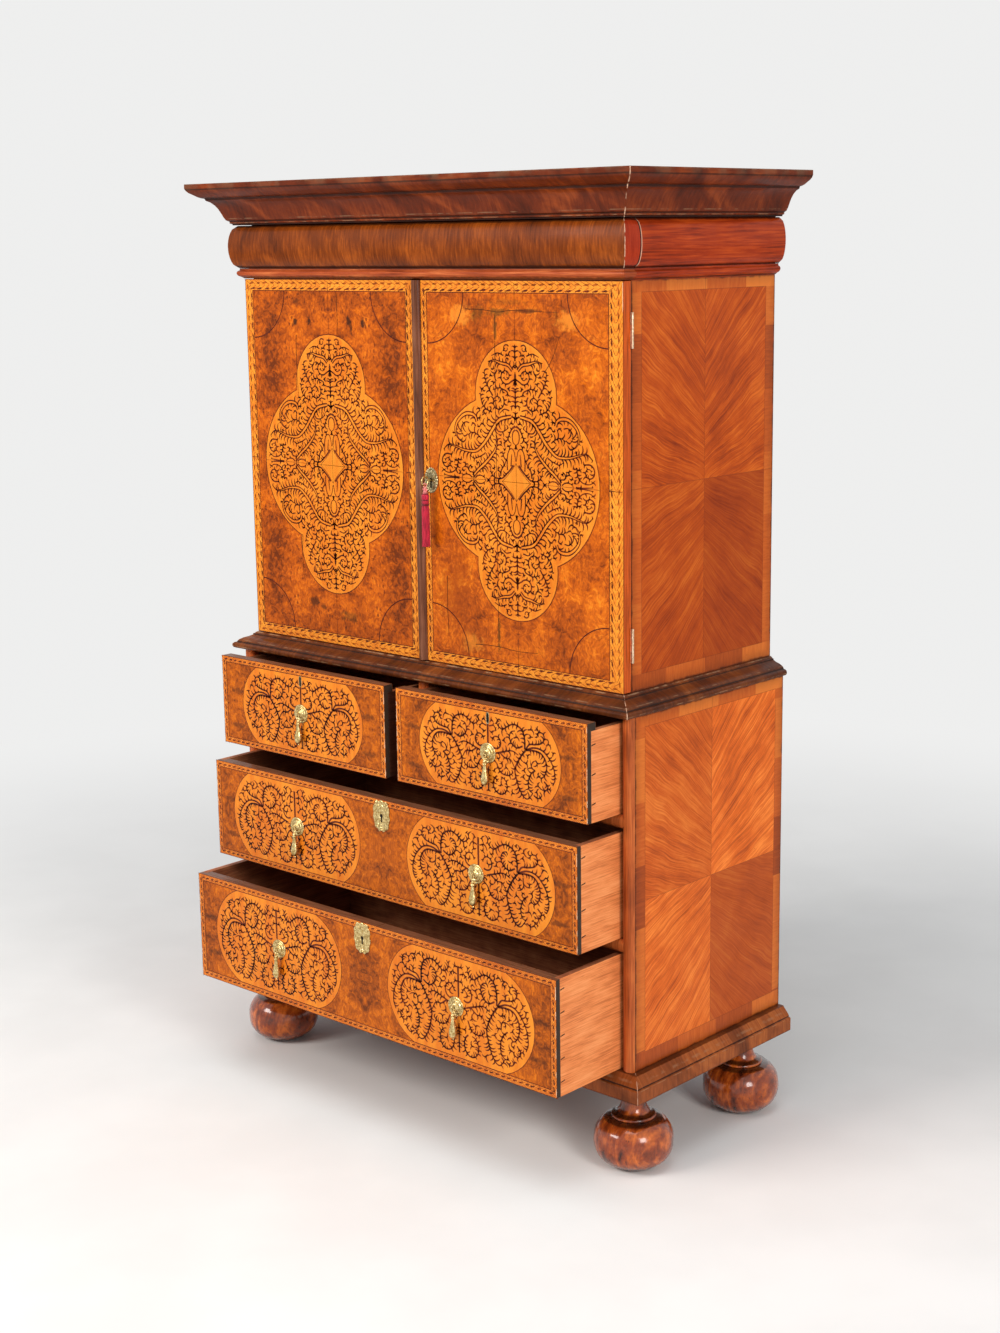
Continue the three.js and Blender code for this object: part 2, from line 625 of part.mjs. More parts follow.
// Chest drawers: name, span, floor, row, pull, whether there is a cast plate, and where the drops hang
const longSpan = [-chestIn + drawer.sideGap, chestIn - drawer.sideGap];
const innerEdge = rail.thick / 2 + drawer.dividerGap;
const shortRow = drawerRows.short;
const drawers = [
  { name: "lower_long", span: longSpan, z: lowerZ, row: drawerRows.lower, pull: drawerRows.lower.pull, plated: true },
  { name: "upper_long", span: longSpan, z: upperZ, row: drawerRows.upper, pull: drawerRows.upper.pull, plated: true },
  { name: "short_left", span: [longSpan[0], -innerEdge], z: shortZ, row: shortRow, pull: shortRow.pullLeft },
  { name: "short_right", span: [innerEdge, longSpan[1]], z: shortZ, row: shortRow, pull: shortRow.pullRight },
];
const castPlate = (share, thick, x, face, z) => prism(
  "Y",
  plateOutlineShares.map(([a, b]) => [x + a * plate.width * share, z + b * plate.height * share]),
  face - thick,
  face,
);
for (const { name, span, z, row, pull, plated } of drawers) {
  const face = -pull;
  const top = z + row.height;
  const sideTop = top - (row.sideDrop ?? 0);
  const middle = (span[0] + span[1]) / 2;
  const keyX = plated ? middle + plate.shift : middle;
  const keyZ = top - (plated ? plate.down : slot.down);
  const slotCut = board(
    [keyX - slot.width / 2, keyX + slot.width / 2],
    [face - overrun, face + slot.deep],
    [keyZ - slot.height / 2, keyZ + slot.height / 2],
  );
  add(`drawer_front_${name}`, cutBy(lappedFront(span, face, [z, top], sideTop), slotCut), burr);
  add(`drawer_box_${name}`, drawerBox(span, face, z, sideTop), oak);
  if (plated) {
    const relief = joined(
      castPlate(1, plate.thick, keyX, face, keyZ),
      castPlate(plate.bossShare, plate.boss, keyX, face, keyZ),
    );
    add(`escutcheon_${name}`, cutBy(relief, keyholeCutter(keyX, keyZ, face - plate.boss - overrun, face + overrun)), brass);
  }
  const roseZ = z + row.height / 2 + rose.lift;
  const dropXs = plated ? [["left", span[0] / 2], ["right", span[1] / 2]] : [["centre", middle]];
  for (const [place, x] of dropXs) addHandle(plated ? `${name}_${place}` : name, x, face, roseZ);
}

// Frieze drawer: the cushion front wraps both corners, and its box is closed on all four sides
add("drawer_front_frieze", mouldedBlock(cushionProfile, cabHalf, doorFace, doorBack), cushionWood);
const friezeX = cabIn - friezeDrawer.sideGap;
const friezeTop = corniceZ - friezeDrawer.headroom;
const friezeBack = doorBack + friezeDrawer.depth;
const friezeFloor = friezeZ + friezeDrawer.bottomLift;
add(
  "drawer_box_frieze",
  cutBy(
    board([-friezeX, friezeX], [doorBack, friezeBack], [friezeZ, friezeTop]),
    board(
      [-friezeX + friezeDrawer.side, friezeX - friezeDrawer.side],
      [doorBack + friezeDrawer.inner, friezeBack - friezeDrawer.side],
      [friezeFloor + friezeDrawer.bottom, friezeTop + overrun],
    ),
    board(
      [-friezeX + friezeDrawer.side, friezeX - friezeDrawer.side],
      [doorBack + friezeDrawer.inner, friezeBack - friezeDrawer.side],
      [friezeZ - overrun, friezeFloor],
    ),
  ),
  oak,
);

export default cabinetOnChest;
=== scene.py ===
"""Marquetry cabinet on a chest of drawers: finishes, inlay, handles, tassel, light and camera, in metres.

The inlay is worked out in millimetres on the flat face of each door and drawer, and laid just in front of it.
"""

import math

import bpy
import numpy as np
from mathutils import Matrix, Vector


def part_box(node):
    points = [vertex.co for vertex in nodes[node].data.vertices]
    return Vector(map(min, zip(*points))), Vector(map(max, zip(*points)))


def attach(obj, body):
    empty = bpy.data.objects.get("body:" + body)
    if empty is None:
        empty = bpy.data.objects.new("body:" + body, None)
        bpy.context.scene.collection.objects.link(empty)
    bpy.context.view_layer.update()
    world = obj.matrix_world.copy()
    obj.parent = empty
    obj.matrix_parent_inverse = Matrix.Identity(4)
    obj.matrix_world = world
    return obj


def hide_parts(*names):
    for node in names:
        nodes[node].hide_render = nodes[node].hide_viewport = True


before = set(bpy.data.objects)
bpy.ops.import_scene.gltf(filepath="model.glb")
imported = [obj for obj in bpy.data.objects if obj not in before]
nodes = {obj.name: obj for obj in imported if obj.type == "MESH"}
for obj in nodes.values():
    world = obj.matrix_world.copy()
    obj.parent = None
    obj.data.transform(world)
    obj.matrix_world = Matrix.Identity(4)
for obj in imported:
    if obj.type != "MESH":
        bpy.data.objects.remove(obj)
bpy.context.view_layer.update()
MM = 0.001


# Planes of the cabinet
def corners(name):
    """Lowest and highest corner of a carcass piece, as arrays."""
    low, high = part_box(name)
    return np.array(low), np.array(high)


def centre_of(name):
    """The middle of a piece seen from the front: (across, up)."""
    low, high = corners(name)
    return np.array([(low[0] + high[0]) / 2, (low[2] + high[2]) / 2])


CHEST_FRONT = corners("chest_side_left")[0][1]
BACK = corners("chest_back")[1][1]
DOOR_FACE = corners("door_left")[0][1]
CUPBOARD_HALF = corners("door_right")[1][0]
CHEST_HALF = corners("chest_side_right")[1][0]
DOOR_LOW, DOOR_HIGH = corners("door_left")[0][2], corners("door_left")[1][2]
DOOR_MIDDLE = (DOOR_LOW + DOOR_HIGH) / 2
NECK_FOOT, CUSHION_FOOT = 1.5305, 1.552
SIDES = ("left", "right")


def srgb(red, green, blue):
    """A colour as seen, 0 to 255, turned into the linear values that the shaders take."""
    seen = np.array([red, green, blue]) / 255
    return tuple(np.where(seen < 0.04045, seen / 12.92, ((seen + 0.055) / 1.055) ** 2.4)) + (1.0,)


def shades(*seen):
    """Several colours as seen, from the darkest to the lightest."""
    return [srgb(*colour) for colour in seen]


def dimmed(colour, share):
    """The same colour with only a share of its light."""
    return tuple(share * part for part in colour[:3]) + (1.0,)


# Node helpers
class Wire:
    """A value on its way between shader nodes: each +, -, *, /, <, > and abs lays one Math node."""

    __array_ufunc__ = None  # a numpy number on the left leaves the sum to the wire

    def __init__(self, shader, socket):
        self.shader, self.socket = shader, socket

    def __add__(self, other):
        return self.shader.math("ADD", self, other)

    def __sub__(self, other):
        return self.shader.math("SUBTRACT", self, other)

    def __rsub__(self, other):
        return self.shader.math("SUBTRACT", other, self)

    def __mul__(self, other):
        return self.shader.math("MULTIPLY", self, other)

    def __truediv__(self, other):
        return self.shader.math("DIVIDE", self, other)

    def __rtruediv__(self, other):
        return self.shader.math("DIVIDE", other, self)

    def __lt__(self, other):
        return self.shader.math("LESS_THAN", self, other)

    def __gt__(self, other):
        return self.shader.math("GREATER_THAN", self, other)

    def __abs__(self):
        return self.shader.math("ABSOLUTE", self)


class Shader:
    """Short calls for laying out the nodes of one material or group."""

    def __init__(self, tree):
        self.tree = tree

    def feed(self, socket, value):
        if isinstance(value, Wire):
            self.tree.links.new(value.socket, socket)
        else:
            socket.default_value = value

    def add(self, kind, inputs=None, output=0, **settings):
        node = self.tree.nodes.new("ShaderNode" + kind)
        for key, value in settings.items():
            setattr(node, key, value)
        for key, value in (inputs or {}).items():
            self.feed(node.inputs[key], value)
        return Wire(self, node.outputs[output])

    def wires(self, node):
        return {socket.name: Wire(self, socket) for socket in node.outputs}

    def use(self, group, **inputs):
        node = self.tree.nodes.new("ShaderNodeGroup")
        node.node_tree = group
        for key, value in inputs.items():
            self.feed(node.inputs[key], value)
        return self.wires(node)

    def math(self, operation, a, b=0.0, clamp=False):
        return self.add("Math", {0: a, 1: b, 2: 0.0}, operation=operation, use_clamp=clamp)

    def least(self, a, b):
        return self.math("MINIMUM", a, b)

    def most(self, a, b):
        return self.math("MAXIMUM", a, b)

    def mix(self, share, a, b, blend="MIX"):
        return self.add("Mix", {0: share, 6: a, 7: b}, 2, data_type="RGBA", blend_type=blend)

    def choose(self, share, a, b):
        return self.add("Mix", {0: share, 2: a, 3: b}, 0, data_type="FLOAT")

    def step(self, value, low, high, to_low=0.0, to_high=1.0):
        return self.add("MapRange", {"Value": value, "From Min": low, "From Max": high, "To Min": to_low,
                                     "To Max": to_high}, interpolation_type="SMOOTHSTEP")

    def noise(self, place, scale, detail=3.0, roughness=0.5, distortion=0.0, output=0):
        return self.add("TexNoise", {"Vector": place, "Scale": scale, "Detail": detail,
                                     "Roughness": roughness, "Distortion": distortion}, output)

    def cells(self, place, scale):
        return self.add("TexVoronoi", {"Vector": place, "Scale": scale}, feature="F1")

    def drawn_lot(self, number):
        """A random value for each whole number below the given one, such as one tone for each board."""
        return self.add("TexWhiteNoise", {"W": self.math("FLOOR", number)}, noise_dimensions="1D")

    def ramp(self, value, places, colours):
        ramp = self.add("ValToRGB", {"Fac": value})
        marks = ramp.socket.node.color_ramp.elements
        while len(marks) < len(places):
            marks.new(0.5)
        for mark, place, colour in zip(marks, places, colours):
            mark.position, mark.color = place, colour
        return ramp

    def split(self, place):
        return self.wires(self.add("SeparateXYZ", {0: place}).socket.node).values()

    def join(self, x, y, z):
        return self.add("CombineXYZ", {0: x, 1: y, 2: z})

    def scaled(self, place, factors):
        return self.add("VectorMath", {0: place, 1: factors}, operation="MULTIPLY")

    def moved(self, place, by):
        return self.add("VectorMath", {0: place, 1: by}, operation="ADD")

    def length(self, place):
        return self.add("VectorMath", {0: place}, "Value", operation="LENGTH")


def new_group(name, inputs, outputs):
    """An empty node group: its helper, its input wires, and a call that fills its outputs and returns it."""
    tree = bpy.data.node_groups.new(name, "ShaderNodeTree")
    kinds = {"vector": "NodeSocketVector", "value": "NodeSocketFloat", "colour": "NodeSocketColor"}
    for key, (kind, default) in inputs.items():
        tree.interface.new_socket(key, in_out="INPUT", socket_type=kinds[kind]).default_value = default
    for key, kind in outputs.items():
        tree.interface.new_socket(key, in_out="OUTPUT", socket_type=kinds[kind])
    shader, ends = Shader(tree), tree.nodes.new("NodeGroupOutput").inputs

    def give(**values):
        for key, value in values.items():
            shader.feed(ends[key], value)
        return tree

    return shader, shader.wires(tree.nodes.new("NodeGroupInput")), give


def new_material(name):
    """A material: its helper, its place on the piece, and a call that fills its shader and returns it."""
    material = bpy.data.materials.new(name)
    material.use_nodes = True
    shader = Shader(material.node_tree)
    inputs = next(n for n in material.node_tree.nodes if n.type == "BSDF_PRINCIPLED").inputs

    def finish(colour, roughness, height=None, depth=0.0003, coat=0.0, coat_roughness=0.12, shine=0.25,
               **constants):
        shader.feed(inputs["Base Color"], colour)
        shader.feed(inputs["Roughness"], roughness)
        shader.feed(inputs["Coat Weight"], coat)
        inputs["Specular IOR Level"].default_value = shine
        inputs["Coat Roughness"].default_value = coat_roughness
        for key, value in constants.items():
            inputs[key.replace("_", " ")].default_value = value
        if height is not None:
            bump = shader.add("Bump", {"Strength": 1.0, "Distance": depth, "Height": height})
            shader.feed(inputs["Normal"], bump)
        return material

    return shader, shader.add("TexCoord", output="Object"), finish


# Shared effects
def build_burr():
    """Burr walnut: clouds of tone, curling figure, clusters of dark knots and thin dark veins."""
    s, given, give = new_group(
        "burr_figure",
        {"Place": ("vector", (0, 0, 0)), "Knots": ("value", 1.0), "Warmth": ("value", 0.5)},
        {"Colour": "colour", "Height": "value", "Gloss": "value"},
    )
    place = given["Place"]
    warp = s.scaled(s.moved(s.noise(place, 22, 3, output=1), (-0.5, -0.5, -0.5)), (0.03, 0.0, 0.03))
    warped = s.moved(place, warp)
    fine = s.noise(s.scaled(warped, (1.0, 1.0, 0.45)), 330, 3, 0.6)
    tone = s.noise(warped, 14, 4, 0.6) * 0.48 + s.noise(warped, 95, 5, 0.6, 0.8) * 0.52
    tone = tone + (fine - 0.5) * 0.22 + (given["Warmth"] - 0.5) * 0.3
    colour = s.ramp(tone, (0.34, 0.42, 0.50, 0.57, 0.69),
                    shades((104, 42, 4), (152, 66, 6), (184, 84, 8), (208, 102, 12), (238, 140, 32)))
    spots = s.step(s.cells(s.moved(place, s.scaled(warp, (0.35, 0, 0.35))), 120), 0.34, 0.08)
    knots = s.math("MULTIPLY", spots * s.step(s.noise(place, 13, 2), 0.5, 0.62), given["Knots"], clamp=True)
    # short dark flecks, a little taller than wide, thick in some places and rare in others
    flecks = s.step(s.cells(s.scaled(warped, (1.0, 1.0, 0.5)), 135), 0.36, 0.2)
    flecks = flecks * s.step(s.noise(place, 30, 3), 0.46, 0.58)
    swirl = s.step(abs(s.noise(warped, 20, 4, 0.5, 2.2) - 0.5), 0.02, 0.0)
    veins = swirl * s.step(s.noise(place, 7, 1), 0.52, 0.64)
    colour = s.mix(s.math("MULTIPLY", flecks, given["Knots"] * 0.8, clamp=True), colour, srgb(98, 36, 4))
    colour = s.mix(knots * 0.85, colour, srgb(58, 22, 6))
    colour = s.mix(veins * 0.4, colour, srgb(100, 42, 8))
    return give(Colour=colour, Height=fine * 0.6 - knots,
                Gloss=s.step(s.noise(place, 30, 4), 0.3, 0.7, 0.26, 0.42))


def build_grain():
    """Straight grain: dark growth lines and fine pores across one direction, drawn out along the others."""
    s, given, give = new_group(
        "grain_lines",
        {"Place": ("vector", (0, 0, 0)), "Width": ("value", 0.004), "Drawn": ("value", 14.0)},
        {"Lines": "value", "Pores": "value", "Cloud": "value"},
    )
    x, y, z = s.split(given["Place"])
    size = 1.0 / given["Width"]
    slow = size / given["Drawn"]
    place = s.join(x * size, y * slow, z * slow)
    return give(Lines=s.noise(place, 1.0, 4, 0.6, 0.5),
                Pores=s.noise(s.scaled(place, (7.0, 2.0, 2.0)), 1.0, 2, 0.6),
                Cloud=s.noise(given["Place"], 9, 3, 0.5))


def build_mitre_wear():
    """Pale chips along the mitres and on the leading edge of a moulding that runs round three sides."""
    s, given, give = new_group(
        "mitre_wear",
        {"Place": ("vector", (0, 0, 0)), "Half": ("value", 0.46), "Front": ("value", 0.0),
         "Width": ("value", 0.0016)},
        {"Chips": "value", "Along": "value", "Across": "value", "Front": "value"},
    )
    x, y, z = s.split(given["Place"])
    out_side, out_front = abs(x) - given["Half"], given["Front"] - y
    ragged = s.noise(given["Place"], 160, 3) * (given["Width"] * 2.0)
    line = s.step(abs(out_side - out_front) - ragged, 0.0006, 0.0)
    on_front = out_front > out_side
    return give(Chips=line * s.step(s.noise(given["Place"], 60, 2), 0.42, 0.56),
                Along=s.choose(on_front, y, x), Front=on_front, Across=z + s.most(out_front, out_side))


BURR = build_burr()
GRAIN = build_grain()
MITRE = build_mitre_wear()


# Finishes
def burr_finish(name, piece, middle, knots, warmth, marks, edge=srgb(208, 88, 26), end=None,
                tint=(1, 1, 1, 1), upright=False):
    """Burr veneer matched about a middle point on the front face, plain walnut on the edges, oak on the back.

    Each mark is a dark or pale smudge: (across, up, half width, half height, strength, colour), in metres
    from the middle.
    """
    s, place, finish = new_material(name)
    low, high = corners(piece)
    x, y, z = s.split(place)
    # the four leaves differ a little, as real leaves do
    matched = s.join(abs(x - middle[0]) + z * 0.02, 0.0, abs(z - middle[1]))
    burr = s.use(BURR, Place=s.moved(matched, (middle[0] * 7 + middle[1], 0.3, middle[1] * 3)), Knots=knots,
                 Warmth=warmth)
    figured = s.mix(1.0, burr["Colour"], tint, "MULTIPLY")
    ragged = (s.noise(place, 130, 4, 0.65) - 0.5) * 2.4
    for across, up, wide, tall, strength, tone in marks:
        far = s.length(s.join((x - (middle[0] + across)) / wide, (z - (middle[1] + up)) / tall, 0.0))
        figured = s.mix(s.step(far + ragged, 1.1, 0.35) * strength, figured, tone)
    along, across = (z, x) if upright else (x, z)
    lines = s.use(GRAIN, Place=s.join(y + across, along, 0.0), Width=0.0026, Drawn=28.0)
    plain = s.mix(s.step(lines["Lines"], 0.35, 0.62), dimmed(edge, 0.5), edge)
    if end:
        on_end = abs(x - (low[0] + high[0]) / 2) > (high[0] - low[0]) / 2 - 0.0005
        plain = s.mix(on_end, plain, s.mix(lines["Pores"], end, srgb(70, 56, 46)))
    oak = s.ramp(lines["Lines"], (0.35, 0.5, 0.64), shades((112, 62, 34), (142, 84, 48), (172, 108, 66)))
    plain = s.mix(y > high[1] - 0.0007, plain, oak)
    colour = s.mix(y < low[1] + 0.0006, plain, figured)
    return finish(colour, burr["Gloss"], burr["Height"], 0.00012, coat=0.05, coat_roughness=0.16, shine=0.12)


def wood_finish(name, axes, tones, width, drawn, rough=(0.34, 0.5), coat=0.1, pores=0.25, shade_and_grime=()):
    """Plain wood with grain lines across the first of the axes, in tones from the darkest to the lightest."""
    s, place, finish = new_material(name)
    parts = list(s.split(place))
    lines = s.use(GRAIN, Place=s.join(*(parts[axis] for axis in axes)), Width=width, Drawn=drawn)
    colour = s.ramp(lines["Lines"] * 0.6 + lines["Cloud"] * 0.4, (0.32, 0.5, 0.68), tones)
    colour = s.mix(s.step(lines["Pores"], 0.52, 0.66) * pores, colour, tones[0])
    # level lines darkened: painted shade with some soiling
    if shade_and_grime:
        colour = s.mix(level_line(s, parts[2], place, shade_and_grime), colour, srgb(58, 22, 8))
    return finish(colour, s.step(lines["Cloud"], 0.35, 0.65, *rough), lines["Lines"], 0.00015, coat=coat,
                  coat_roughness=0.2, shine=0.15)


def boards(s, across, along, tones, width):
    """Plain boards side by side, each with its own tone and grain, with knots and dark joints."""
    share = across / width
    own = s.drawn_lot(share)
    place = s.join(across, along + own * 7.0, 0.0)
    lines = s.use(GRAIN, Place=place, Width=0.006, Drawn=26.0)
    colour = s.ramp(lines["Lines"] * 0.76 + own * 0.24, (0.3, 0.5, 0.7), tones)
    dark = dimmed(tones[0], 0.3)
    colour = s.mix(s.step(s.cells(s.scaled(place, (1.0, 0.7, 1.0)), 5.0), 0.07, 0.03) * 0.6, colour, dark)
    joint = s.step(abs(s.math("FRACT", share) - 0.5), 0.488, 0.496)
    return s.mix(joint * 0.9, colour, dark)


def board_finish(name, tones, width):
    """Unpolished upright boards."""
    s, place, finish = new_material(name)
    x, y, z = s.split(place)
    return finish(boards(s, x, z, tones, width), 0.7, shine=0.1)


def level_line(s, z, place, lines):
    """How strongly a point lies on one of the ragged level lines (height, half width, strength)."""
    ragged = (s.noise(place, 90, 3) - 0.5) * 1.3
    share = 0.0
    for height, half, strength in lines:
        share = s.most(share, s.step(abs((z - height) / half) + ragged, 1.25, 0.35) * strength)
    return share


def moulding_finish(name, half, front, tones, chips, uneven, shade_and_grime, wear_and_highlight=(), patch=0.11, streak=0.0075,
                    stripes=0.35, end_tones=None, joint=None, dust=None, fascia=None, top=9.0):
    """Cross-grained walnut laid in short lengths round three sides, with pale chips at the mitres.

    The level lines for the quirks are painted shade with some soiling, and those for the arrises pale
    wear with painted highlights. Above the fascia height the grain runs lengthwise. End tones are for the
    ends that turn the corners, and joint is where those stop. The faces above the top height and those at the
    back are plain boards.
    """
    s, place, finish = new_material(name)
    x, y, z = s.split(place)
    wear = s.use(MITRE, Place=place, Half=half, Front=front, Width=chips)
    along, up = wear["Along"] + s.noise(place, 22, 2) * 0.012, wear["Across"]
    laid = s.join(along, up, 0.0)
    if fascia:
        laid = s.add("Mix", {0: z > fascia, 4: laid, 5: s.join(up, along, 0.0)}, 1, data_type="VECTOR")
    lines = s.use(GRAIN, Place=laid, Width=streak, Drawn=9.0)
    # broad flames, up to a hand wide, under the fine stripes
    flame = s.noise(s.join((along + up * 0.5) * 12.0, up * 8.0, 0.0), 1.0, 4, 0.55, 0.8)
    tone = lines["Lines"] * stripes + flame * (1.0 - stripes) + (s.drawn_lot(along / patch) - 0.5) * uneven
    colour = s.ramp(tone, (0.3, 0.5, 0.7), tones)
    colour = s.mix(s.step(lines["Pores"], 0.55, 0.68) * 0.35, colour, tones[0])
    if end_tones:
        colour = s.mix(wear["Front"], s.ramp(tone, (0.35, 0.65), end_tones), colour)
        colour = s.mix(y + s.noise(place, 70) * 0.001 > joint, colour, srgb(34, 12, 8))
    # pale lines on the arrises: wear with painted highlights
    if wear_and_highlight:
        broken = s.step(s.noise(place, 42, 3), 0.44, 0.6)
        colour = s.mix(level_line(s, z, place, wear_and_highlight) * broken, colour, srgb(168, 132, 98))
    # dark lines in the quirks: painted shade with some soiling
    colour = s.mix(level_line(s, z, place, shade_and_grime), colour, srgb(30, 14, 8))
    if dust:
        grey = s.step(z, *dust) * s.step(s.noise(place, 24, 4), 0.42, 0.62)
        colour = s.mix(grey * 0.25, colour, srgb(130, 104, 78))
    colour = s.mix(wear["Chips"], colour, srgb(208, 168, 140))
    plain = boards(s, y + z, x, shades((66, 40, 24), (92, 58, 36), (118, 80, 52)), 0.17)
    raw = s.most(z > top, y > BACK - 0.0006)
    roughness = s.step(lines["Cloud"], 0.35, 0.65, 0.3, 0.46) + wear["Chips"] * 0.3
    return finish(s.mix(raw, colour, plain), s.most(roughness, raw * 0.85), lines["Lines"], 0.0002,
                  coat=(1.0 - raw) * 0.05, coat_roughness=0.18, shine=0.1)


def side_cushion(s, place, tones, joint):
    """The cushion's end: straight grain from front to back, pale at its joint, and darkened in its quirks by
    painted shade with some soiling.
    """
    x, y, z = s.split(place)
    lines = s.use(GRAIN, Place=s.join(z + x * 0.4, y, x), Width=0.0038, Drawn=26.0)
    rail = s.ramp(lines["Lines"] * 0.65 + lines["Cloud"] * 0.35, (0.34, 0.5, 0.66), tones)
    at_joint = (y + s.noise(place, 70) * 0.0012 < joint) * (z > CUSHION_FOOT)
    rail = s.mix(at_joint, rail, srgb(226, 168, 138))
    # dark lines under the cornice, at the cushion's foot and at the neck's foot: painted shade with some soiling
    quirks = ((1.5515, 0.0022, 0.8), (1.6285, 0.003, 0.8), (1.5325, 0.0016, 0.7))
    return s.mix(level_line(s, z, place, quirks), rail, srgb(40, 16, 8))


def inside_of(s, y, z, low, high):
    """How far a point of a side lies inside the rectangle between two corners (y, z)."""
    return s.least(s.least(y - low[0], high[0] - y), s.least(z - low[1], high[1] - z))


def quartered_finish(name, outside, field, middle, tones, quarters, limits, slope=(0.45, 3.0), cushion=None):
    """Four veneer leaves mirrored about a middle point on a side, inside a band of cross-grained lengths.

    The grain runs up and outwards in each leaf: its lines hold (v - a u) / (1 + b u) constant, where u and v
    are the distances from the middle. field is ((low y, low z), (high y, high z)) of the four leaves, and
    limits those of the whole panel, whose edges are darkened by painted shade and some soiling. quarters says
    how much darker each leaf is: upper front, upper back, lower front, lower back.
    """
    s, place, finish = new_material(name)
    x, y, z = s.split(place)
    dy, dz = y - middle[0], z - middle[1]
    u, v = abs(dy), abs(dz)
    sway = (s.noise(s.join(0.0, u, v), 7, 2) - 0.5) * 0.045
    across = (v + sway - u * slope[0]) / (u * slope[1] + 1.0)
    back, top = dy > 0.0, dz > 0.0
    leaf = back * 1.7 + top * 3.1
    lines = s.use(GRAIN, Place=s.join(across, u + leaf, v), Width=0.0023, Drawn=34.0)
    broad = s.noise(s.join(across * 70.0, u * 5.0, leaf), 1.0, 3)
    tone = lines["Lines"] * 0.42 + broad * 0.26 + s.noise(place, 9, 5, 0.62) * 0.32
    darker = s.choose(back, s.choose(top, quarters[2], quarters[0]), s.choose(top, quarters[3], quarters[1]))
    leaves = s.mix(darker, s.ramp(tone, (0.37, 0.5, 0.62), tones), tones[0])
    # band of short lengths, each with its own tone
    above = z > field[1][1]
    on_end = s.most(above, z < field[0][1])
    run, rest = s.choose(on_end, z, y), s.choose(on_end, y, z)
    band_lines = s.use(GRAIN, Place=s.join(run, rest, 0.0), Width=0.004, Drawn=8.0)
    band_tone = s.drawn_lot(run * 9.0) * 0.5 + band_lines["Lines"] * 0.5 + above * 0.22
    band = s.ramp(band_tone, (0.2, 0.5, 0.85), shades((150, 64, 20), (192, 88, 28), (222, 122, 46)))
    inside = inside_of(s, y, z, *field)
    colour = s.mix(inside > 0.0, band, leaves)
    seam = s.step(s.least(abs(inside), s.least(u, v)), 0.0009, 0.0003)
    colour = s.mix(seam * 0.4, colour, srgb(84, 34, 14))
    colour = s.mix(s.step(s.cells(place, 60), 0.07, 0.02) * 0.5, colour, srgb(70, 28, 10))
    # towards the panel's edges, beside the mouldings and the front, the colour darkens: painted shade with some
    # soiling
    to_edge = inside_of(s, y, z, *limits) + (s.noise(place, 60, 3) - 0.5) * 0.008
    shade_and_dirt = s.step(to_edge, 0.0045, 0.0, 0.0, 0.6) + s.step(to_edge, 0.022, 0.0, 0.0, 0.28)
    colour = s.mix(shade_and_dirt, colour, srgb(58, 24, 10))
    # the outer face alone is veneered, and the cushion above it has long grain
    oak = s.mix(lines["Cloud"], srgb(92, 44, 20), srgb(132, 72, 36))
    colour = s.mix(abs(x) > outside - 0.0007, oak, colour)
    if cushion:
        colour = s.mix(z > NECK_FOOT, colour, side_cushion(s, place, *cushion))
    return finish(colour, s.step(lines["Cloud"], 0.35, 0.65, 0.3, 0.42), lines["Lines"], 0.00012, coat=0.05,
                  coat_roughness=0.14, shine=0.12)


def box_finish(name, box, inside, outside, right):
    """A drawer's box: pale grain from front to back outside, its right side in tones of its own, and brown
    wood inside it."""
    s, place, finish = new_material(name)
    low, high = corners(box)
    x, y, z = s.split(place)
    lines = s.use(GRAIN, Place=s.join(z, y, x), Width=0.0018, Drawn=34.0)
    tone = lines["Lines"] * 0.56 + s.noise(s.scaled(place, (1.0, 0.4, 1.6)), 26, 4, 0.55) * 0.44
    pores = s.step(lines["Pores"], 0.52, 0.7) * 0.3
    left, right = (s.mix(pores, s.ramp(tone, (0.36, 0.5, 0.62), side), side[0]) for side in (outside, right))
    pale = s.mix(x > (low[0] + high[0]) / 2, left, right)
    within = s.least(x - (low[0] + 0.001), high[0] - 0.001 - x) > 0.0
    colour = s.mix(within, pale, s.ramp(tone, (0.36, 0.5, 0.66), inside))
    return finish(colour, s.step(lines["Cloud"], 0.35, 0.65, 0.5, 0.65), lines["Lines"], 0.0002, shine=0.15)


def metal_finish(name, bright, dull, rough=(0.22, 0.42)):
    """Worn metal: bright where handled, dull and darker in clouds, with fine cast pitting."""
    s, place, finish = new_material(name)
    cloud = s.noise(place, 240, 4, 0.6)
    pits = s.step(s.cells(place, 1440), 0.25, 0.05)
    share = s.step(cloud, 0.38, 0.62)
    colour = s.mix(pits * 0.5, s.mix(share, dull, bright), dull)
    return finish(colour, rough[1] - share * (rough[1] - rough[0]), cloud - pits, 0.00015, Metallic=1.0)


def turned_finish(name):
    """A stained and polished turning: growth rings, dark flecks, quirks darkened by painted shade and soiling,
    and a deep shine.
    """
    s, place, finish = new_material(name)
    x, y, z = s.split(place)
    lines = s.use(GRAIN, Place=place, Width=0.011, Drawn=3.0)
    tone = lines["Lines"] * 0.6 + s.noise(place, 34, 4) * 0.4
    colour = s.ramp(tone, (0.36, 0.5, 0.63), shades((62, 18, 5), (146, 60, 17), (212, 108, 36)))
    flecks = s.step(s.cells(s.scaled(place, (1, 1, 0.5)), 170), 0.28, 0.08)
    flecks = flecks * s.step(s.noise(place, 40, 2), 0.46, 0.6)
    colour = s.mix(flecks * 0.75, colour, srgb(34, 10, 4))
    colour = s.mix(s.step(z, 0.03, 0.0) * 0.5, colour, srgb(48, 24, 14))
    # dark rings in the collar's quirks and under the plinth: painted shade with some soiling
    quirks = ((0.0892, 0.0026, 0.8), (0.0985, 0.0030, 0.8), (0.1420, 0.0050, 0.7))
    colour = s.mix(level_line(s, z, place, quirks), colour, srgb(40, 18, 8))
    return finish(colour, s.step(s.noise(place, 60, 3), 0.3, 0.7, 0.2, 0.34), lines["Lines"], 0.0002,
                  coat=0.7, coat_roughness=0.08)


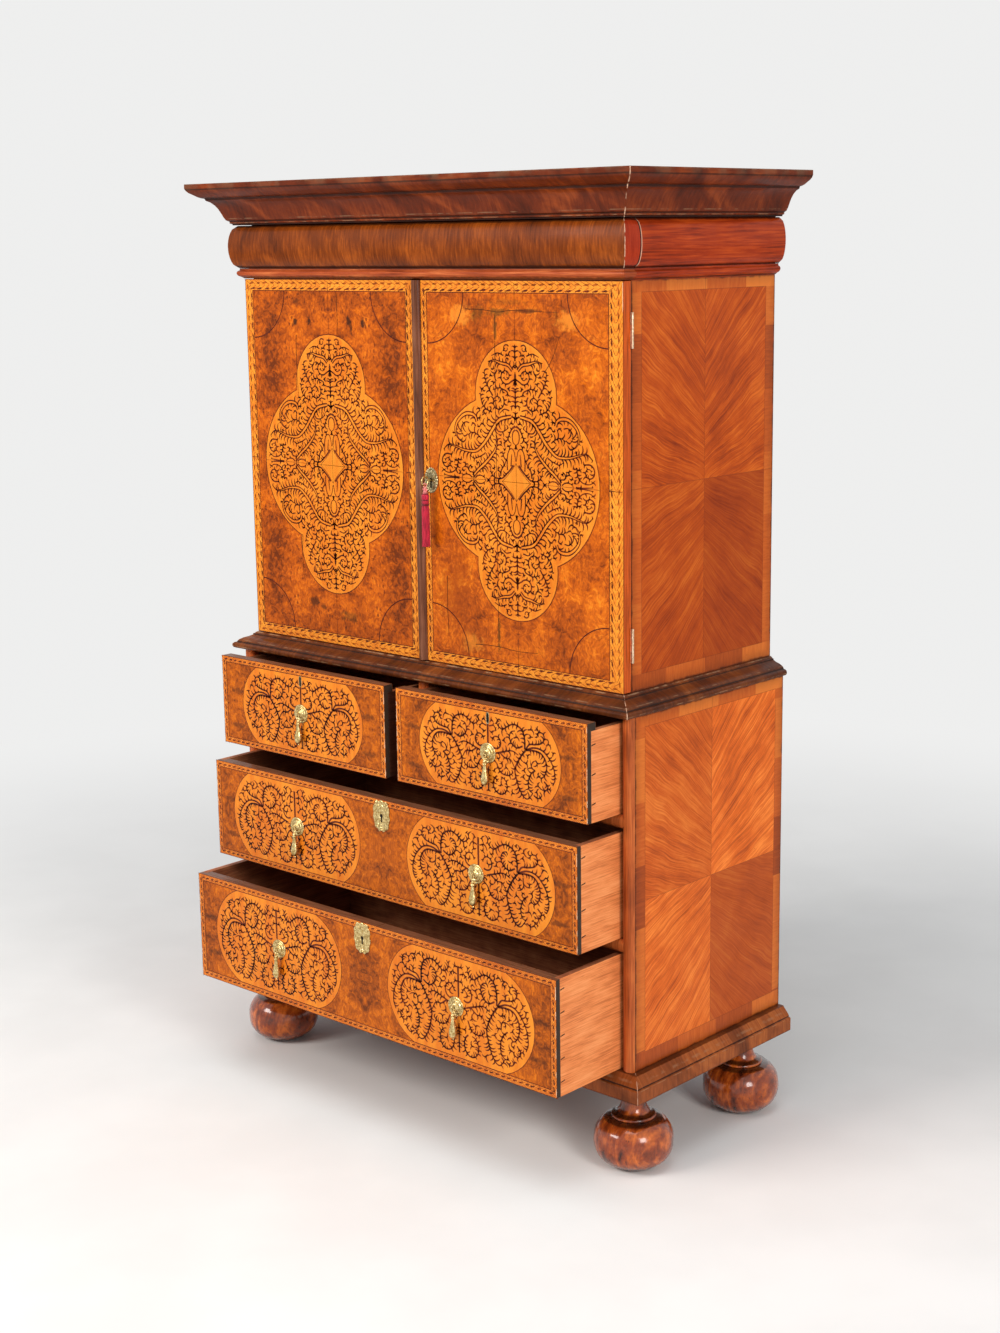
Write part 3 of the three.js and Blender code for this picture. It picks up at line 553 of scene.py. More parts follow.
def inlay_finish(name, deep, light, streak=(1.0, 1.0, 0.15), scale=70, coat=0.08):
    """Flat inlaid wood, shaded between two tones by drawn-out clouds and fine pores."""
    s, place, finish = new_material(name)
    deep, light = srgb(*deep), srgb(*light)
    cloud, wide = s.noise(s.scaled(place, streak), scale, 4, 0.55), s.noise(place, 9, 2)
    colour = s.mix(s.step(cloud * 0.6 + wide * 0.4, 0.34, 0.66), deep, light)
    fine = s.noise(s.scaled(place, (1.0, 1.0, 0.3)), 900, 2)
    colour = s.mix(s.step(fine, 0.55, 0.7) * 0.16, colour, deep)
    return finish(colour, s.step(wide, 0.35, 0.65, 0.26, 0.4), cloud, 0.0001, coat=coat, coat_roughness=0.16,
                  shine=0.12)


def silk_finish(name, deep, light):
    """Silk thread: light and deep strands side by side, with a soft sheen."""
    s, place, finish = new_material(name)
    strands = s.noise(s.scaled(place, (1.0, 1.0, 0.06)), 900, 3)
    colour = s.mix(s.step(strands, 0.35, 0.65), srgb(*deep), srgb(*light))
    return finish(colour, 0.55, strands, 0.0002, Sheen_Weight=0.5, Sheen_Roughness=0.35)


# Surfaces
def round_turn(count):
    """Angles that go once round in even steps, the last one short of the first."""
    return np.linspace(0, 2 * np.pi, count, endpoint=False)


def unit(ways):
    """The same directions with a length of one."""
    return ways / np.maximum(np.linalg.norm(ways, axis=-1, keepdims=True), 1e-9)


def grid_faces(rows, columns, wrap_rows=False):
    """Quads between the neighbours of a grid of points whose every row, and if asked every column, is a ring."""
    i, j = np.arange(rows if wrap_rows else rows - 1)[:, None], np.arange(columns)[None, :]
    ahead, beside = (i + 1) % rows, (j + 1) % columns
    quads = (i * columns + j, i * columns + beside, ahead * columns + beside, ahead * columns + j)
    return np.stack(quads, -1).reshape(-1, 4)


def gather(bits):
    """Joins (points, faces) pairs into one, each pair's faces counted on from the points before it."""
    counts = np.cumsum([0] + [len(points) for points, _ in bits[:-1]])
    points = np.concatenate([points for points, _ in bits])
    return points, [[corner + int(start) for corner in face] for (_, faces), start in zip(bits, counts)
                    for face in (faces.tolist() if isinstance(faces, np.ndarray) else faces)]


def make(name, points, faces, material, body, slot, facing=None, smooth=True, replaces=()):
    """Puts a surface into the scene. An open sheet is turned to its facing, a closed shell outwards."""
    points = np.asarray(points, float)
    faces = faces.tolist() if isinstance(faces, np.ndarray) else faces
    first, last = np.array([face[:3] for face in faces]), np.array([face[-1] for face in faces])
    a, b, c, d = points[first[:, 0]], points[first[:, 1]], points[first[:, 2]], points[last]
    if facing is not None:
        turned = (np.cross(b - a, c - a) @ np.array(facing, float)).sum() < 0
    else:
        turned = (a * (np.cross(b, c) + np.cross(c, d))).sum() < 0
    if turned:
        faces = [face[::-1] for face in faces]
    mesh = bpy.data.meshes.new(name)
    mesh.from_pydata(points.tolist(), [], faces)
    mesh.polygons.foreach_set("use_smooth", [smooth] * len(faces))
    mesh.materials.append(material)
    piece = bpy.data.objects.new(name, mesh)
    bpy.context.scene.collection.objects.link(piece)
    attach(piece, body)
    if replaces:
        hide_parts(*replaces)


def through(points, count):
    """A smooth line through the points: each stretch is a cubic that leaves a point along the chord of its
    neighbours."""
    points = np.asarray(points, float)
    padded = np.concatenate([[2 * points[0] - points[1]], points, [2 * points[-1] - points[-2]]])
    t = np.linspace(0, len(points) - 1, count)
    i = np.minimum(t.astype(int), len(points) - 2)
    f = (t - i)[:, None]
    p0, p1, p2, p3 = (padded[i + k] for k in range(4))
    return 0.5 * (2 * p1 + (p2 - p0) * f + (2 * p0 - 5 * p1 + 4 * p2 - p3) * f**2
                  + (3 * p1 - p0 - 3 * p2 + p3) * f**3)


def turning(profile, count, centre, forwards=False, ripple=None):
    """A closed turning: a profile of (radius, height) goes round an axis, up or forwards from the centre.

    The first and the last point lie on the axis and close the shell as poles. A ripple(angle, height)
    multiplies the radius.
    """
    angle = round_turn(count)[None]
    radius, height = profile[1:-1, :1] * np.ones_like(angle), profile[1:-1, 1:] * np.ones_like(angle)
    if ripple is not None:
        radius = radius * ripple(angle, height)
    across, along = radius * np.cos(angle), radius * np.sin(angle)
    rings = np.stack([across, -height, along] if forwards else [across, along, height], -1).reshape(-1, 3)
    ends = np.array([[0, -h, 0] if forwards else [0, 0, h] for h in (profile[0, 1], profile[-1, 1])], float)
    rows, nearest = len(profile) - 2, len(rings)
    last = nearest - count
    caps = [[(k + 1) % count, k, nearest] for k in range(count)]
    caps += [[last + k, last + (k + 1) % count, nearest + 1] for k in range(count)]
    return np.concatenate([rings, ends]) + centre, grid_faces(rows, count).tolist() + caps


def plate_between(inner, outer, relief, rows, front, lift):
    """A cast plate whose points run evenly from an inner outline to an outer one, closed by a flat back.

    The relief(share, turn) is how far each point stands in front of the face, in millimetres.
    """
    count = len(inner)
    share = np.linspace(0, 1, rows)[:, None]
    across = inner[:, 0] * (1 - share) + outer[:, 0] * share
    up = inner[:, 1] * (1 - share) + outer[:, 1] * share
    face = np.stack([across, front - lift - relief(share, round_turn(count)[None]) * MM, up], -1)
    back = np.stack([across[[-1, 0]], np.full((2, count), front), up[[-1, 0]]], -1)
    points = np.concatenate([face, back]).reshape(-1, 3)
    return points, grid_faces(rows + 2, count, wrap_rows=True)


def tube(line, radius, sides=10, closed=False):
    """A round bar along a line: circles in planes square to it."""
    way = unit(np.roll(line, -1, 0) - np.roll(line, 1, 0) if closed else np.gradient(line, axis=0))
    aside = unit(np.cross(way, [0.123, 0.456, 0.881]))
    other = np.cross(way, aside)
    angle = round_turn(sides)
    ring = aside[:, None] * np.cos(angle)[:, None] + other[:, None] * np.sin(angle)[:, None]
    points = line[:, None] + ring * radius
    return points.reshape(-1, 3), grid_faces(len(line), sides, wrap_rows=closed)


# Flat strips of inlay
def strips(lines, halves):
    """Flat strips: each line is offset to both sides by its half width, square to its own direction."""
    lines = np.asarray(lines, float)
    halves = np.broadcast_to(halves, lines.shape[:2])
    way = unit(np.gradient(lines, axis=1))
    aside = np.stack([-way[..., 1], way[..., 0]], -1) * halves[..., None]
    points = np.concatenate([lines + aside, lines - aside], 1)
    count, k = lines.shape[:2]
    i = np.arange(k - 1)
    quad = np.stack([i, i + 1, k + i + 1, k + i], -1)
    faces = (quad[None] + (np.arange(count) * 2 * k)[:, None, None]).reshape(-1, 4)
    return points.reshape(-1, 2), faces


def closed_strip(outline, half):
    """A thin strip along a closed outline."""
    return strips([np.concatenate([outline, outline[:1]])], half)


def mirrored(flat, ways):
    """Copies of flat (points, faces) under each pair of signs, an odd mirror's faces turned back."""
    points, faces = flat[0], np.asarray(flat[1])
    return gather([(points * way, faces if way[0] * way[1] > 0 else faces[:, ::-1])
                   for way in np.array(ways)])


def lay(name, flat, middle, face, material, body, lift, slot="burr_veneer"):
    """Lays flat millimetre points (across, up) on an upright face, with the lift in front of it."""
    points, faces = flat
    across, up = points[:, 0] * MM + middle[0], points[:, 1] * MM + middle[1]
    placed = np.stack([across, np.full(len(points), face - lift), up], -1)
    make(name, placed, faces, material, body, slot, facing=(0, -1, 0), smooth=False)


def sheet_to_middle(outline):
    """A flat sheet from an outline to its middle."""
    count = len(outline)
    i = np.arange(count)
    return (np.concatenate([outline, outline.mean(0)[None]]),
            np.stack([i, (i + 1) % count, np.full(count, count)], -1))


def sheet_between(outer, inner):
    """A flat sheet between two outlines of as many points."""
    return np.concatenate([outer, inner]), grid_faces(2, len(outer))


# Scrollwork
def swung(way, turn):
    """The direction of a way with a length of one, turned to the left by an angle."""
    way = way / max(np.linalg.norm(way), 1e-9)
    return np.array([way[0] * math.cos(turn) - way[1] * math.sin(turn),
                     way[0] * math.sin(turn) + way[1] * math.cos(turn)])


def line_between(points, least):
    """A smooth line through the points with one point for every 2.2 mm, but no fewer than the least."""
    points = np.asarray(points, float)
    length = np.linalg.norm(np.diff(points, axis=0), axis=1).sum()
    return through(points, max(least, int(length / 2.2)))


class Scrollwork:
    """Dark scrolls for one mirrored part of a medallion, in millimetres from its middle.

    depth(u, v) is how far a point lies inside the part that may be filled. Stems are drawn first, then leaves
    along them where there is room, and last sprigs that grow from the nearest stroke into the widest gap.
    """

    LEAF = np.linspace(0, 1, 6)[:, None]

    def __init__(self, depth, low, high, seed):
        self.u, self.v = np.meshgrid(*(np.arange(a, b, 1.0) for a, b in zip(low, high)), indexing="ij")
        self.low = np.array(low, float)
        self.depth = depth(self.u, self.v)
        self.gap = np.full(self.u.shape, 99.0)
        self.source = np.zeros(self.u.shape, int)
        self.spots, self.ways = np.zeros((0, 2)), np.zeros((0, 2))
        self.strokes = {}
        self.chance = np.random.default_rng(seed)

    def cell_of(self, point):
        index = np.round(np.asarray(point) - self.low).astype(int)
        return tuple(np.clip(index, 0, np.array(self.u.shape) - 1))

    def draw(self, line, half, reach=16, ink=True):
        """Keeps a stroke, and lowers every near cell's distance to it. Without ink it only stays clear."""
        half = np.broadcast_to(half, len(line))
        if ink:
            self.strokes.setdefault(len(line), []).append((line, half))
        start = len(self.spots)
        self.spots = np.concatenate([self.spots, line])
        self.ways = np.concatenate([self.ways, unit(np.gradient(line, axis=0))])
        (i0, j0), (i1, j1) = self.cell_of(line.min(0) - reach), self.cell_of(line.max(0) + reach)
        window = (slice(i0, i1 + 1), slice(j0, j1 + 1))
        far = np.hypot(self.u[window][..., None] - line[:, 0], self.v[window][..., None] - line[:, 1]) - half
        nearest = far.argmin(-1)
        least = np.take_along_axis(far, nearest[..., None], -1)[..., 0]
        closer = least < self.gap[window]
        self.gap[window] = np.where(closer, least, self.gap[window])
        self.source[window] = np.where(closer, nearest + start, self.source[window])

    def stem(self, points, thick, thin):
        """A stem through the points, thick at its foot and thin at its tip."""
        line = line_between(points, 8)
        share = np.linspace(0, 1, len(line))
        self.draw(line, thin + (thick - thin) * (1 - share) ** 0.8, 34)
        return [line]

    def band(self, points, half):
        """A light band between two dark lines that meet at its tip, and a clear space between them."""
        middle = line_between(points, 10)
        way = unit(np.gradient(middle, axis=0))
        share = np.linspace(0, 1, len(middle))[:, None]
        aside = np.stack([-way[:, 1], way[:, 0]], -1) * half * (1 - share**2.5)
        aside = aside * (0.7 + 0.3 * np.sin(np.pi * share))
        share = share[:, 0]
        self.draw(middle, half * (1 - share**2.5) * 0.8, 34, ink=False)
        edges = [middle + aside, middle - aside]
        for edge in edges:
            self.draw(edge, 1.15 * (1.15 - 0.5 * share), 34)
        return edges

    def try_leaf(self, foot, way, lengths, side, bend, halves, clear):
        """Draws a leaf of the first length that fits, widest near its foot and pointed at its tip.

        It leaves along a direction and bends to one side. It fits if its tip and its middle keep clear of the
        other strokes, and its tip of the edge.
        """
        share, aside = self.LEAF, np.array([-way[1], way[0]]) * side
        for length, half in zip(lengths, halves):
            line = (foot + way * length * share * (1 - 0.42 * share)
                    + aside * length * bend * share**1.7 * 0.75)
            tip, middle = self.cell_of(line[-1]), self.cell_of(line[3])
            if self.gap[tip] > clear and self.depth[tip] > 0.2 and self.gap[middle] > clear * 0.6:
                self.draw(line, half * np.array([1.0, 1.05, 1.0, 0.85, 0.55, 0.06]))
                return

    def leaves_along(self, line, length, every, first, clear, only=0):
        """Leaves on both sides of a stem, shorter or left out where another stroke or the edge is near."""
        step = np.linalg.norm(np.diff(line, axis=0), axis=1)
        along = np.concatenate([[0], np.cumsum(step)])
        shares = np.array([1.0, 0.86, 0.72, 0.6, 0.5])
        for number, at in enumerate(np.arange(every * 0.6, along[-1], every / 2)):
            at += every * 0.3 * (self.chance.random() - 0.5)
            i = max(1, min(int(np.searchsorted(along, at)), len(line) - 2))
            side = 1 if (number + first) % 2 else -1
            if only and side != only:
                continue
            size = length * (0.8 + 0.3 * math.sin(math.pi * at / along[-1]))
            size = size * (0.65 + 0.6 * self.chance.random())
            turn = side * 0.5 * (0.8 + 0.4 * self.chance.random())
            self.try_leaf(line[i], swung(line[i + 1] - line[i - 1], turn), size * shares, side, 0.9,
                          1.45 * (0.55 + 0.45 * shares), clear)

    def grow(self, least, sweep, half):
        """Curved leaves from the nearest stroke into the widest gap, until no gap is wider than the least.

        A leaf starts beside the stroke, follows its direction and sweeps past the middle of the gap, so that
        leaves that fill one space lie side by side. Where the gap is wide, it carries two leaflets.
        """
        share = self.LEAF
        for _ in range(1500):
            room = np.minimum(self.gap, self.depth)
            target = np.unravel_index(room.argmax(), room.shape)
            size = room[target]
            if size < least:
                return
            goal = np.array([self.u[target], self.v[target]])
            foot, way = self.spots[self.source[target]], self.ways[self.source[target]]
            ahead = goal - foot
            reach = max(np.linalg.norm(ahead), 1e-6)
            ahead /= reach
            way = way if way @ ahead > -0.2 else -way
            bend = foot + way * reach * 0.55 + ahead * reach * 0.35
            tip = goal + (ahead * 0.55 - way * 0.15) * size * sweep
            line = foot * (1 - share) ** 2 + 2 * bend * share * (1 - share) + tip * share**2
            wide = min(0.6 + 0.16 * size, half)
            self.draw(line, wide * np.array([0.9, 1.0, 1.0, 0.85, 0.55, 0.08]))
            if size < 3.6:
                continue
            for at, side in ((2, 1), (3, -1)):
                heading = swung(line[at + 1] - line[at - 1], side * 0.5)
                self.try_leaf(line[at], heading, [size * long for long in (1.6, 1.2, 0.9)], side, 0.75,
                              [wide * 0.9] * 3, 1.3)

    def flat(self):
        """All strokes as flat strips."""
        return gather([strips([line for line, _ in same], [half for _, half in same])
                       for same in self.strokes.values()])


def spiral(middle, start, end, angle, turns, count=26):
    """Points round a middle whose radius shrinks evenly from start to end."""
    share = np.linspace(0, 1, count)
    radius, turn = start + (end - start) * share, angle + 2 * np.pi * turns * share
    return np.stack([middle[0] + radius * np.cos(turn), middle[1] + radius * np.sin(turn)], -1)


# The doors' medallion is four circles laid over each other, and its star has four hollow sides.
SIDE_CIRCLE, END_CIRCLE = (39.0, 147.0), (148.5, 93.0)
STAR, STAR_HOLLOW = 33.0, 2.25
FOUR_WAYS = ((1, 1), (-1, 1), (1, -1), (-1, -1))


def quatrefoil_depth(u, v):
    """Distance inside the union of the four circles: the best of radius less distance from each centre."""
    across = SIDE_CIRCLE[1] - np.hypot(np.abs(u) - SIDE_CIRCLE[0], v)
    upward = END_CIRCLE[1] - np.hypot(u, np.abs(v) - END_CIRCLE[0])
    return np.maximum(across, upward)


def star_outline():
    """Four points joined by hollow sides: the size times cos and sin, each to a power, with their signs."""
    turn = round_turn(48)
    x, y = np.cos(turn), np.sin(turn)
    return np.stack([np.sign(x) * np.abs(x) ** STAR_HOLLOW, np.sign(y) * np.abs(y) ** STAR_HOLLOW], -1) * STAR


def star_outside(u, v):
    """Roughly how far a point lies outside the star."""
    power = 2 / STAR_HOLLOW
    return ((np.abs(u) / STAR) ** power + (np.abs(v) / STAR) ** power - 1) * 20


def quatrefoil_outline(inset=0.0, count=96):
    """The outline as arcs of the side and end circles that meet where the circles cross."""
    (a, ra), (b, rb) = SIDE_CIRCLE, END_CIRCLE
    ra, rb = ra - inset, rb - inset
    # where the side circle about (a, 0) meets the end circle about (0, b)
    d2 = a * a + b * b
    share = (ra * ra - rb * rb + d2) / (2 * d2)
    rise = math.sqrt(ra * ra / d2 - share * share)
    meet = np.array([a - a * share + b * rise, b * share + a * rise])
    side_arc = np.linspace(0, math.atan2(meet[1], meet[0] - a), count // 8, endpoint=False)
    top_arc = np.linspace(math.atan2(meet[1] - b, meet[0]), math.pi / 2, count // 8, endpoint=False)
    quarter = np.concatenate([
        np.stack([a + ra * np.cos(side_arc), ra * np.sin(side_arc)], -1),
        np.stack([rb * np.cos(top_arc), b + rb * np.sin(top_arc)], -1),
        [[0, b + rb]],
    ])
    upper = np.concatenate([quarter, (quarter[:-1] * [-1, 1])[::-1]])
    return np.concatenate([upper, (upper[1:-1] * [1, -1])[::-1]])


def door_scrolls():
    """A quarter of the doors' scrollwork, mirrored to the other three."""
    work = Scrollwork(lambda u, v: np.minimum(quatrefoil_depth(u, v) - 8.5, star_outside(u, v) - 1.5),
                      (0, 0), (190, 244), 5)
    # a stem and its thickness, or a light band and half its width; the length of its leaves; its points
    stems = [
        ("band", 3.6, 13, [(10, 112), (22, 110), (38, 105), (53, 89), (66, 72), (80, 58), (95, 49), (120, 49),
                           (140, 54), (158, 57), (171, 48)]),
        ("stem", 1.7, 9, [(38, 101), (45, 94), (40, 86), (28, 86), (16, 93)]),
        ("stem", 2.1, 8, [(0.5, 96), (8, 92), (14, 83), (20, 71), (29, 66)]),
        ("stem", 1.4, 0, [(0.6, 90), (6, 86), (8, 77), (6, 68), (0.6, 64)]),
        ("band", 3.2, 12, [(101, 5), (88, 17), (72, 29), (58, 42), (48, 54), (43, 68), (45, 80)]),
        ("stem", 1.3, 9, [(72, 46), (84, 40), (98, 36), (107, 41)]),
        ("band", 3.4, 13, [(90, 100), (94, 109), (104, 113), (118, 112), (131, 104), (140, 92), (141, 79),
                           (134, 68), (123, 62)]),
        ("stem", 1.2, 11, [(108, 97), (118, 98), (127, 90), (127, 80), (120, 72)]),
        ("stem", 1.3, 12, [(80, 72), (90, 78), (101, 81), (113, 76)]),
        ("stem", 1.5, 8, spiral((163, 27), 14, 4, 1.9, -1.3)),
        ("stem", 1.4, 9, [(136, 34), (139, 18), (150, 9), (165, 8), (176, 15)]),
        ("stem", 1.4, 4, [(103, 2), (110, 6.5), (119, 7), (126, 4), (128, 0.6)]),
        ("stem", 1.4, 4, [(96, 2), (90, 6.5), (81, 7), (74, 4), (72, 0.6)]),
        ("stem", 1.5, 6, [(99.5, 0.7), (99.5, 16)]),
        ("stem", 1.5, 7, [(134, 0.8), (150, 1), (172, 3)]),
        ("stem", 1.9, 8, [(6, 29.5), (13, 21.5), (22, 13.5), (34, 5), (50, 6), (58, 14), (60, 24)]),
        ("stem", 1.3, 0, [(20, 20), (20.5, 33), (19.5, 45), (15.5, 55), (9.5, 57.5), (4.5, 53), (2.2, 44),
                          (0.6, 36)]),
        ("stem", 1.5, 0, [(11.5, 27), (11, 36), (9.5, 48)]),
        ("stem", 1.8, 9, [(36, 9), (34, 20), (26, 30), (22, 40)]),
        ("stem", 1.5, 8, [(21, 36), (27, 41), (32, 52)]),
        ("stem", 1.4, 8, spiral((40, 136), 15, 7, 2.4, 1.15)),
        ("stem", 1.4, 6, spiral((21, 180), 14, 4, -2.4, 1.35)),
        ("band", 2.8, 10, [(6, 190), (16, 199), (32, 202), (48, 206), (62, 204)]),
        ("stem", 1.3, 7, [(26, 215), (40, 219), (54, 214)]),
        ("stem", 1.3, 3, spiral((20, 227), 7, 3, 2.6, -1.0)),
        ("stem", 1.2, 8, [(0.6, 126), (0.6, 160)]),
        ("stem", 1.1, 8, [(0.6, 206), (0.6, 234)]),
        ("stem", 1.6, 10, [(52, 146), (62, 160), (69, 174), (71, 190)]),
        ("stem", 1.4, 10, [(54, 118), (68, 123), (78, 134), (81, 150)]),
        ("stem", 1.3, 9, [(20, 155), (36, 160), (52, 156)]),
        ("stem", 1.3, 7, [(14, 122), (26, 124), (36, 117)]),
    ]
    # the loops beside the star stay clear inside
    for first, last, half in (((108, 0), (122, 0), 4.0), ((77, 0), (91, 0), 4.0), ((0, 70), (0, 84), 3.0),
                              ((15.8, 24), (15.4, 46), 2.4), ((6.2, 38), (6.4, 50), 1.6)):
        work.draw(np.linspace(first, last, 12), half, 8, ink=False)
    drawn = [work.band(points, size) if kind == "band" else work.stem(points, size, 0.7)
             for kind, size, _, points in stems]
    for number, (lines, (kind, _, leaf, _)) in enumerate(zip(drawn, stems)):
        for line, only in zip(lines, (1, -1) if kind == "band" else (0,)):
            if leaf:
                work.leaves_along(line, leaf * 1.3, 8.0, number, 2.2, only)
    work.grow(4.3, 1.1, 1.45)
    return mirrored(work.flat(), FOUR_WAYS)


def drawer_outline(straight, end, half_height, count=18):
    """Two arcs about (straight, 0) and its mirror, cut off by the straight upper and lower edges."""
    limit = math.asin(min(half_height / end, 1.0))
    arc = np.linspace(-limit, limit, count)
    right = np.stack([straight + end * np.cos(arc), end * np.sin(arc)], -1)
    return np.concatenate([right, right * [-1, -1]])


def drawer_scrolls(straight, end, half_height):
    """Half of a drawer's scrollwork, mirrored to the other half. Stems spring from a hub halfway out."""
    half_width = straight + end
    fit = np.array([half_width / 166.0, half_height / 74.0])

    def depth(u, v):
        """The lesser of the distances to the medallion's straight edges and to its round ends."""
        to_end = end - np.hypot(np.maximum(np.abs(u) - straight, 0), v)
        return np.minimum(half_height - np.abs(v), to_end) - 6.5

    # a stem's thickness, the length of its leaves, and its points
    stems = [
        (1.9, 10, [(86, 19), (77, 9), (67, -6), (62, -19), (65, -34), (72, -51), (82, -63), (92, -64),
                   (102, -53)]),
        (1.8, 9, [(86, 20), (105, 22), (120, 20), (130, 11), (134, -2), (130, -16), (121, -23), (113, -18)]),
        (1.7, 9, [(88, 21), (106, 27), (125, 25), (141, 12), (150, -4), (152, -21), (147, -32)]),
        (1.6, 7, [(86, 20), (95, 31), (107, 33), (122, 37), (129, 46), (125, 55), (115, 54), (113, 46)]),
        (1.8, 9, [(85, 21), (85, 36), (82, 49), (75, 57), (60, 61), (47, 56), (35, 49), (26, 52), (21, 59),
                  (26, 66)]),
        (1.6, 8, [(80, 26), (67, 21), (55, 27), (50, 37), (54, 47), (63, 50)]),
        (1.6, 8, [(18, 4), (35, 9), (55, 14), (70, 9)]),
        (1.5, 7, [(28, 6), (40, -1), (52, -2), (61, -14)]),
        (1.6, 5, spiral((19, 24), 12, 9, -2.2, 0.85)),
        (1.6, 7, spiral((28, -51), 17, 15, 2.0, 0.92)),
        (1.5, 7, [(20, -14), (29, -28), (46, -31), (58, -24)]),
        (1.5, 9, [(108, -12), (98, -20), (92, -34), (94, -48), (102, -53)]),
        (1.5, 7, [(128, -28), (136, -36), (130, -44), (120, -42)]),
        (1.4, 6, [(104, -56), (114, -60), (122, -54), (118, -48)]),
        (1.2, 0, [(0.9, 62), (0.9, 16)]),
        (0.9, 6, [(0.6, -22), (0.6, -66)]),
        (1.3, 5, [(3, 50), (14, 52), (20, 44)]),
    ]
    work = Scrollwork(depth, (0, -half_height), (half_width, half_height), 11)
    lines = [work.stem(np.array(points) * fit, thick * 1.05, 1.0)[0] for thick, _, points in stems]
    for number, (line, (_, leaf, _)) in enumerate(zip(lines, stems)):
        if leaf:
            work.leaves_along(line, leaf * 1.4, 7.4, number, 2.3)
    work.grow(5.4, 0.9, 1.4)
    return mirrored(work.flat(), FOUR_WAYS[:2])


# Feather banding
def banding(low, high, widths, pitch, seed):
    """A mitred frame of light wood, the dark darts laid along it, and fine feather lines between them.

    low and high are the outer corners and widths the (left, right, bottom, top) widths. Each dart is a slim
    lens, and those of the innermost row carry a barb that slants to the frame's inner edge. The feather lines
    leave the middle of the band to both sides at thirty degrees. A wide side has two rows of darts, a narrow
    one has one.
    """
    (x0, z0), (x1, z1) = low, high
    left, right, bottom, top = widths
    outer = np.array([(x0, z0), (x1, z0), (x1, z1), (x0, z1)], float)
    inner = outer + [(left, bottom), (-right, bottom), (-right, -top), (left, -top)]
    chance = np.random.default_rng(seed)
    darts, faint, barbs, feathers = [], [], [], []
    for k, width in enumerate((bottom, right, top, left)):
        wide = width > 15
        a0, a1, b0, b1 = outer[k], outer[(k + 1) % 4], inner[k], inner[(k + 1) % 4]
        way = (a1 - a0) / np.linalg.norm(a1 - a0)
        inward = np.array([-way[1], way[0]])
        start, stop = (a0 + b0) / 2, (a1 + b1) / 2
        number = max(int(np.linalg.norm(stop - start) / pitch * (1.5 if wide else 2.4)), 1)
        foot = start + (stop - start) * ((np.arange(number) + 0.4) / number)[:, None]
        foot = foot + way * (chance.random((number, 1)) - 0.5) * pitch * 0.12
        t = np.array([0.08, 0.5, 0.94])[None, :, None]
        for side in (-1, 1):
            slant = way * width * 0.9 + inward * side * width * 0.5
            feathers.append(foot[:, None] + slant * t + way * t**2 * width * 0.12)
        shares = (0.31, 0.81) if wide else (0.5,)
        for row, share in enumerate(shares):
            innermost = share == shares[-1]
            start, stop = a0 + (b0 - a0) * share, a1 + (b1 - a1) * share
            length = np.linalg.norm(stop - start)
            number = max(int(length / pitch), 1)
            size = length / number
            places = (np.arange(number) + 0.5 + 0.25 * row) * size
            wander = (chance.random((number, 2)) - 0.5) * [size * 0.14, width * 0.05]
            long = size * 0.34 * (0.85 + 0.3 * chance.random(number))
            middle = start + (places + wander[:, 0])[:, None] * way + wander[:, 1:] * inward
            t = np.array([-1, -0.45, 0.3, 1])[None, :, None]
            lens = middle[:, None] + t * long[:, None, None] * (way + inward * 0.12)
            (darts if innermost else faint).append(lens)
            if innermost:
                t = np.array([0, 0.35, 0.7, 1])[None, :, None]
                reach = width * (1 - share) * 0.92
                foot = middle + way * long[:, None]
                barbs.append(foot[:, None] + t * (inward * reach - way * reach * 0.75))
    dart = np.array([0.12, 1.85, 1.45, 0.12]) * (pitch / 19) ** 0.5
    edges = [strips([np.linspace(a, b, 3) for a, b in zip(loop, np.roll(loop, -1, 0))], half)
             for loop, half in ((inner, 0.7), (outer, 0.5))]
    marks = gather([strips(line, dart) for line in darts]
                   + [strips(line, [0.7, 0.45, 0.3, 0.1]) for line in barbs] + edges)
    fine = gather([strips(line, [0.55, 0.5, 0.3]) for line in feathers]
                  + [strips(line, dart) for line in faint])
    return sheet_between(outer, inner), marks, fine


# Materials in use
light_inlay = inlay_finish("light_inlay", (210, 108, 22), (230, 138, 36))
rim_inlay = inlay_finish("rim_inlay", (214, 120, 30), (228, 140, 40))
dark_inlay = inlay_finish("dark_inlay", (60, 20, 4), (112, 38, 6), scale=34)
stringing_dark = inlay_finish("stringing_dark", (58, 16, 6), (92, 26, 8), scale=90)
band_inlay = inlay_finish("band_inlay", (216, 118, 30), (240, 152, 46), (1, 1, 1), 120)
feather_inlay = inlay_finish("feather_inlay", (128, 56, 10), (184, 90, 18), scale=120)
drawer_band = inlay_finish("drawer_band", (206, 102, 26), (232, 138, 44), (1, 1, 1), 110)
crack_dark = inlay_finish("crack_dark", (48, 22, 8), (96, 42, 12), scale=90, coat=0.0)
bare_wood = inlay_finish("bare_wood", (222, 170, 126), (250, 214, 176))
pin_dark = inlay_finish("dovetail_dark", (40, 24, 16), (74, 44, 28), coat=0.0)
# keyholes: a near-black sheet, painted shade in place of the dark inside of the hole
keyhole_shadow = inlay_finish("keyhole_shadow", (12, 8, 6), (26, 16, 10), coat=0.0)
